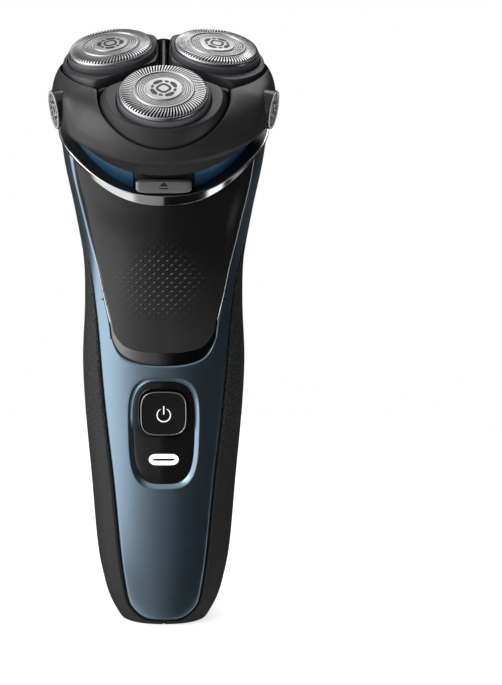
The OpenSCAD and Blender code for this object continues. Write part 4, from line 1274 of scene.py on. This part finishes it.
def painted_cap_shade():
    """Dark plates that stand in for the shade in the cap's openings (painted shade): a rounded ring, four arcs
    and four blobs between them, and dark rings of painted shade in the grooves about the cap."""
    parts = []
    for k in range(4):
        parts.append(arc_plate(2.45, 3.6, 90 * k + 6, 90 * k + 56, 0.2, 0.41))
        parts.append(arc_plate(2.6, 3.3, 90 * k + 64, 90 * k + 86, 0.2, 0.41, 8))
    part = hoop(1.25, 1.9, 0.2, 0.41, 0.02, 64)
    angle = np.arctan2(part[0][..., 1], part[0][..., 0])
    square = 1 + 0.06 * np.cos(4 * angle)
    part[0][..., 0] *= square
    part[0][..., 1] *= square
    parts.append(part)
    for r in (5.2, 5.75, 6.3, 6.85):
        parts.append(hoop(r - 0.08, r + 0.08, 0, 0.15, 0.02, 96))
    return parts


for i in (1, 2, 3):
    body = f"holder_{i}"
    make_piece(f"guard_{i}_skirt_ring", [guard_part(ring_lathe(skirt_profile, 160), i)], SKIRT, body,
               f"guard_skirt_{i}")
    make_piece(f"guard_{i}_rim", [guard_part(ring_lathe(rim_profile, 160), i)], GUARD_STEEL, body,
               smooth=40)
    make_piece(f"guard_{i}_bars", [guard_part(bars(), i)], GUARD_STEEL, body, f"guard_{i}", smooth=30)
    make_piece(f"guard_{i}_hub", [guard_part(lathe(hub_profile(), 144), i)], CAP_STEEL, body, smooth=30)
    # The cap's dark marks are painted shade laid on the cap as thin plates.
    make_piece(f"guard_{i}_marks", [guard_part(p, i) for p in painted_cap_shade()], CAP_SHADE_AND_PRINT, body)


# ---------------------------------------------------------------- side emblems
def emblem(side):
    """Frame of a side emblem: its disc axis points outwards from the head's axis."""
    az = math.radians(71 * side)
    out = np.array([math.sin(az), -math.cos(az), 0])
    along = np.array([math.cos(az), math.sin(az), 0]) * side
    up = np.array([0, 0, 1.0])
    basis = np.stack([along, up, out])

    def put(part):
        return in_head((np.asarray(part[0]) - [0, 0, 0.3]) @ basis + [0, 0, -9.6]), part[1]
    return put


def emblem_parts():
    body = lathe(np.array([(0, 30.55), (4.35, 30.6), *closed_rounded(
        [(4.5, 30.62), (4.62, 30.75), (5.0, 30.75), (5.08, 30.6), (5.1, 28.0)], 0.08)[1:-1], (5.1, 28.0),
        (0, 28.0)]), 96)
    ring = hoop(4.3, 4.95, 30.5, 30.97, 0.1, 96)
    glyph = [hoop(1.25, 1.7, 30.5, 30.72, 0.05, 48)]
    for k in range(12):
        glyph.append(arc_plate(2.5 if k % 3 else 2.2, 3.7, 30 * k - 4.2, 30 * k + 4.2, 30.5, 30.72, 6))
    return body, ring, glyph


for side, name in ((-1, "left"), (1, "right")):
    put = emblem(side)
    disc, bright_ring, glyph = emblem_parts()
    make_piece(f"emblem_{name}_disc", [put(disc)], EMBLEM_BLACK, "shaving_unit",
               "side_emblems" if side < 0 else None)
    make_piece(f"emblem_{name}_ring", [put(bright_ring)], EMBLEM_SILVER, "shaving_unit")
    make_piece(f"emblem_{name}_dial", [put(p) for p in glyph], EMBLEM_SILVER, "shaving_unit")


# ---------------------------------------------------------------- controls
def rings_plate(outline, steps, curved=None):
    """Closed plate from an outline: rings of (offset, y), the first and last ones closed.
    curved adds the handle's own front curve to y."""
    theta = np.linspace(0, 2 * np.pi, 160, endpoint=False)
    rings = []
    for offset, y in steps:
        x, z = outline(theta, offset)
        rings.append(np.stack([x, y + (face_at(x, z) if curved else 0 * x), z], -1))
    grid = np.array(rings)
    quads = grid_quads(len(rings), 160, wrap_cols=True).tolist()
    caps = [list(range(160)), list(range((len(rings) - 1) * 160, len(rings) * 160))]
    return grid, [*quads, *caps]


BUTTON_Z, BUTTON_A, BUTTON_B, BUTTON_N = 60.4, 6.15, 5.9, 3.6


def button_outline(theta, offset=0.0):
    """Superellipse of the power button."""
    a, b = BUTTON_A + offset, BUTTON_B + offset
    r = (np.abs(np.cos(theta) / a) ** BUTTON_N + np.abs(np.sin(theta) / b) ** BUTTON_N) ** (-1 / BUTTON_N)
    return r * np.cos(theta), r * np.sin(theta) + BUTTON_Z


def control_face():
    """Glossy black face set into the shell, following its curve, with a dished well for the
    button: rings run from the back edge over the front to the well's wall."""
    theta = np.linspace(0, 2 * np.pi, 240, endpoint=False)
    rings = []

    def curved_ring(x, z, depth):
        rings.append(np.stack([x, face_at(x, z) + depth, z], -1))

    for offset, depth in ((0.0, 2.6), (0.0, 1.12), (-0.05, 1.0), (-0.18, 0.95)):
        curved_ring(*capsule_outline(theta, offset), depth)
    ox, oz = capsule_outline(theta, -0.18)
    bx, bz = button_outline(theta, 0.95)
    for t in (0.25, 0.5, 0.75, 1.0):
        curved_ring(mix(ox, bx, t), mix(oz, bz, t), 0.95)
    for offset, depth in ((0.85, 0.97), (0.75, 1.06), (0.45, 1.3), (0.3, 1.5), (0.28, 2.6)):
        curved_ring(*button_outline(theta, offset), depth)
    grid = np.array(rings)
    return grid, grid_quads(*grid.shape[:2], wrap_rows=True, wrap_cols=True)


make_piece("control_face", [control_face()], GLOSS, "handle", "control_panel", smooth=30)
FACE_Y = -15.5


def button_face():
    """Very slightly dished front, a short wall and a flat back."""
    steps = [(-0.42, -12.7), (-0.42, FACE_Y + 0.16), (-0.5, FACE_Y + 0.04)]
    steps += [(-0.5 - 5.3 * t, FACE_Y + 0.04 + 0.05 * math.sin(t * math.pi / 2)) for t in
              np.linspace(0.06, 0.99, 14)]
    return rings_plate(button_outline, steps)


def button_bright_ring():
    """Narrow chromed frame round the face."""
    theta = np.linspace(0, 2 * np.pi, 160, endpoint=False)
    back, front = -13.4, FACE_Y - 0.06
    profile = closed_rounded([(-0.32, back), (-0.32, front), (0.0, front), (0.0, back)], 0.1)
    rings = []
    for offset, y in profile:
        x, z = button_outline(theta, offset)
        rings.append(np.stack([x, y + 0 * x, z], -1))
    grid = np.array(rings)
    return grid, grid_quads(*grid.shape[:2], wrap_rows=True, wrap_cols=True)


make_piece("button_spun_face", [button_face()], BUTTON_FACE, "power_button", "power_button", smooth=40)
make_piece("button_bright_frame", [button_bright_ring()], SILVER_LINE, "power_button", "button_ring",
           smooth=40)


def upright(part, y, z):
    """A plate made in (x, y, height) turned to lie on the front, facing -y."""
    points = np.asarray(part[0], float)
    return np.stack([points[..., 0], y - points[..., 2], z + points[..., 1]], -1), part[1]


def power_icon():
    """Broken circle and an upright bar with round ends."""
    circle = arc_plate(1.64, 1.93, 117, 423, -0.05, 0.05, 48)
    parts = [upright(circle, FACE_Y + 0.03, BUTTON_Z - 0.35)]
    a = np.linspace(0, 2 * np.pi, 24, endpoint=False)
    x = 0.15 * np.cos(a)
    z = 0.15 * np.sin(a) + np.sign(np.sin(a)) * 1.02
    outline = np.stack([x, z, 0 * x], -1)
    bar = prism(outline + [0, 0, -0.06], outline + [0, 0, 0.06])
    parts.append(upright(bar, FACE_Y + 0.03, BUTTON_Z + 0.95))
    return parts


make_piece("power_icon", power_icon(), ICON_WHITE, "power_button")
LIGHT_Z = 47.8


def pill_outline(half_length, half_height):
    def outline(theta, offset=0.0):
        r = half_height + offset
        x = r * np.cos(theta) + signed_pow(np.cos(theta), 0.12) * (half_length - half_height)
        return x, r * np.sin(theta) + LIGHT_Z
    return outline


pill = pill_outline(4.0, 1.5)
pill_steps = [(0.0, 1.6), (0.0, 0.9), (-0.1, 0.82), (-0.35, 0.78)]
make_piece("light_pill", [rings_plate(pill, pill_steps, curved=True)], LIGHT, "handle", "light_window",
           smooth=40)
slot_line = pill_outline(2.95, 0.3)
make_piece("light_pill_line", [rings_plate(slot_line, [(0.0, 0.9), (0.0, 0.72), (-0.05, 0.7)], curved=True)],
           EMBLEM_BLACK, "handle")

# ---------------------------------------------------------------- release button
RELEASE_Z, RELEASE_Y = 120.4, -20.1


def release_outline(theta, offset=0.0):
    """Wide button whose lower corners are rounder than its upper ones."""
    a, b = 7.2 + offset, 1.75 + offset
    n = np.where(np.sin(theta) > 0, 7.0, 4.4)
    r = (np.abs(np.cos(theta) / a) ** n + np.abs(np.sin(theta) / b) ** n) ** (-1 / n)
    return r * np.cos(theta), r * np.sin(theta) + RELEASE_Z


def release_parts():
    """Front face with a wide top bevel: each ring is pushed back more along its top."""
    theta = np.linspace(0, 2 * np.pi, 200, endpoint=False)
    rings = []
    for offset, y, bevel in ((0, 0.75, 0), (0, 0.42, 0.2), (-0.12, 0.24, 0.22), (-0.45, 0.0, 0.12),
                             (-0.65, -0.04, 0), (-1.1, -0.04, 0), (-1.6, -0.04, 0)):
        x, z = release_outline(theta, offset)
        top = smoothstep((z - RELEASE_Z - 0.6) / 1.0)
        rings.append(np.stack([x, RELEASE_Y + y + bevel * top, z], -1))
    grid = np.array(rings)
    faces = grid_quads(*grid.shape[:2], wrap_cols=True).tolist()
    count = grid.shape[1]
    return grid, [*faces, list(range(count)), list(range((len(rings) - 1) * count, len(rings) * count))]


make_piece("release_key", [release_parts()], GUNMETAL, "release_button", "release_button", smooth=28)


def eject_icon():
    """Triangle over a bar."""
    y0, y1 = RELEASE_Y - 0.1, RELEASE_Y + 0.1
    tri = [(-1.15, 120.35), (1.15, 120.35), (0, 121.5)]
    triangle = prism(*[[(x, y, z) for x, z in tri] for y in (y0, y1)])
    return [triangle, box_part((-1.15, y0, 119.65), (1.15, y1, 119.95))]


make_piece("release_icon", eject_icon(), CAP_SHADE_AND_PRINT, "release_button", smooth=5)

# ---------------------------------------------------------------- back: trimmer and slider
for node, width in (("trimmer_housing", 0.35), ("trimmer_arm", 0.4), ("trimmer_slider", 0.35),
                    ("frame_lock", 0.2), ("retaining_frame", 0.12), ("charging_socket", 0.15)):
    softened(node, width)

# ---------------------------------------------------------------- floor and surroundings
FLOOR_R = 0.34
floor_turn = np.linspace(0, 2 * np.pi, 96, endpoint=False)
floor_edge = np.stack([FLOOR_R * np.cos(floor_turn), FLOOR_R * np.sin(floor_turn), 0 * floor_turn], -1)
floor_mesh = bpy.data.meshes.new("floor")
floor_mesh.from_pydata(floor_edge.tolist(), [], [list(range(96))])
floor_finish = mottled("floor_pale", (0.86, 0.86, 0.86), 0.6, scale=6, spread=0.01, depth=0.001,
                       Emission_Color=(1, 1, 1, 1), Emission_Strength=0.75)
floor_mesh.materials.append(floor_finish)
floor = bpy.data.objects.new("floor", floor_mesh)
bpy.context.scene.collection.objects.link(floor)
floor.visible_glossy = False


def studio(level_stops, low_stops, ceiling):
    """Surroundings as the object sees them: brightness by direction round the object, in degrees
    from the front, for level and for downward directions, blended to an even ceiling overhead.
    The camera sees plain white."""
    world = bpy.data.worlds.new("studio")
    bpy.context.scene.world = world
    world.use_nodes = True
    tree = world.node_tree
    tree.nodes.clear()

    def node(kind, inputs=(), **settings):
        made = tree.nodes.new(kind)
        for key, value in settings.items():
            setattr(made, key, value)
        for place, value in enumerate(inputs):
            if isinstance(value, bpy.types.NodeSocket):
                tree.links.new(value, made.inputs[place])
            elif value is not None:
                made.inputs[place].default_value = value
        return made

    split = node("ShaderNodeSeparateXYZ", [node("ShaderNodeTexCoord").outputs["Generated"]])
    x, y, z = split.outputs
    back = node("ShaderNodeMath", [y, -1.0], operation="MULTIPLY").outputs[0]
    turn = node("ShaderNodeMath", [x, back], operation="ARCTAN2").outputs[0]
    place = node("ShaderNodeMath", [turn, 1 / (2 * math.pi), 0.5], operation="MULTIPLY_ADD").outputs[0]

    def by_direction(stops):
        ramp = node("ShaderNodeValToRGB", [place])
        while len(ramp.color_ramp.elements) < len(stops):
            ramp.color_ramp.elements.new(0.5)
        for element, (degrees, bright) in zip(ramp.color_ramp.elements, stops):
            element.position = degrees / 360 + 0.5
            element.color = (bright / 2, bright / 2, bright / 2, 1)
        return ramp.outputs[0]

    downward = node("ShaderNodeMapRange", [z, -0.42, -0.3])
    low, level = by_direction(low_stops), by_direction(level_stops)
    lower = node("ShaderNodeMix", [downward.outputs[0], None, low, level], data_type="FLOAT")
    upward = node("ShaderNodeMapRange", [z, 0.55, 0.85])
    blend = node("ShaderNodeMix", [upward.outputs[0], None, lower.outputs[0], ceiling / 2], data_type="FLOAT")
    lit = node("ShaderNodeBackground", [blend.outputs[0], 2.0])
    plain = node("ShaderNodeBackground", [(1, 1, 1, 1), 1.0])
    path = node("ShaderNodeLightPath")
    choose = node("ShaderNodeMixShader", [path.outputs["Is Camera Ray"], lit.outputs[0], plain.outputs[0]])
    node("ShaderNodeOutputWorld", [choose.outputs[0]])


studio([(-180, 0.05), (-150, 0.04), (-112, 0.03), (-104, 1.5), (-64, 1.6), (-52, 1.6), (-40, 1.35), (-28, 0.85),
        (-18, 0.5), (-10, 0.34), (-0.4, 0.27), (0.0, 0.012), (70, 0.012), (110, 0.015), (125, 0.03),
        (140, 0.05), (180, 0.05)],
       [(-180, 0.12), (-150, 0.1), (-108, 0.06), (-102, 0.9), (-64, 0.95), (-56, 0.3), (-30, 0.26), (-0.4, 0.2),
        (0.0, 0.006), (77, 0.006), (79, 1.2), (93, 1.2), (95, 0.01), (101, 0.01), (106, 0.3), (130, 0.25),
        (145, 0.08), (180, 0.12)], 0.3)

bpy.context.scene.view_settings.view_transform = "Standard"
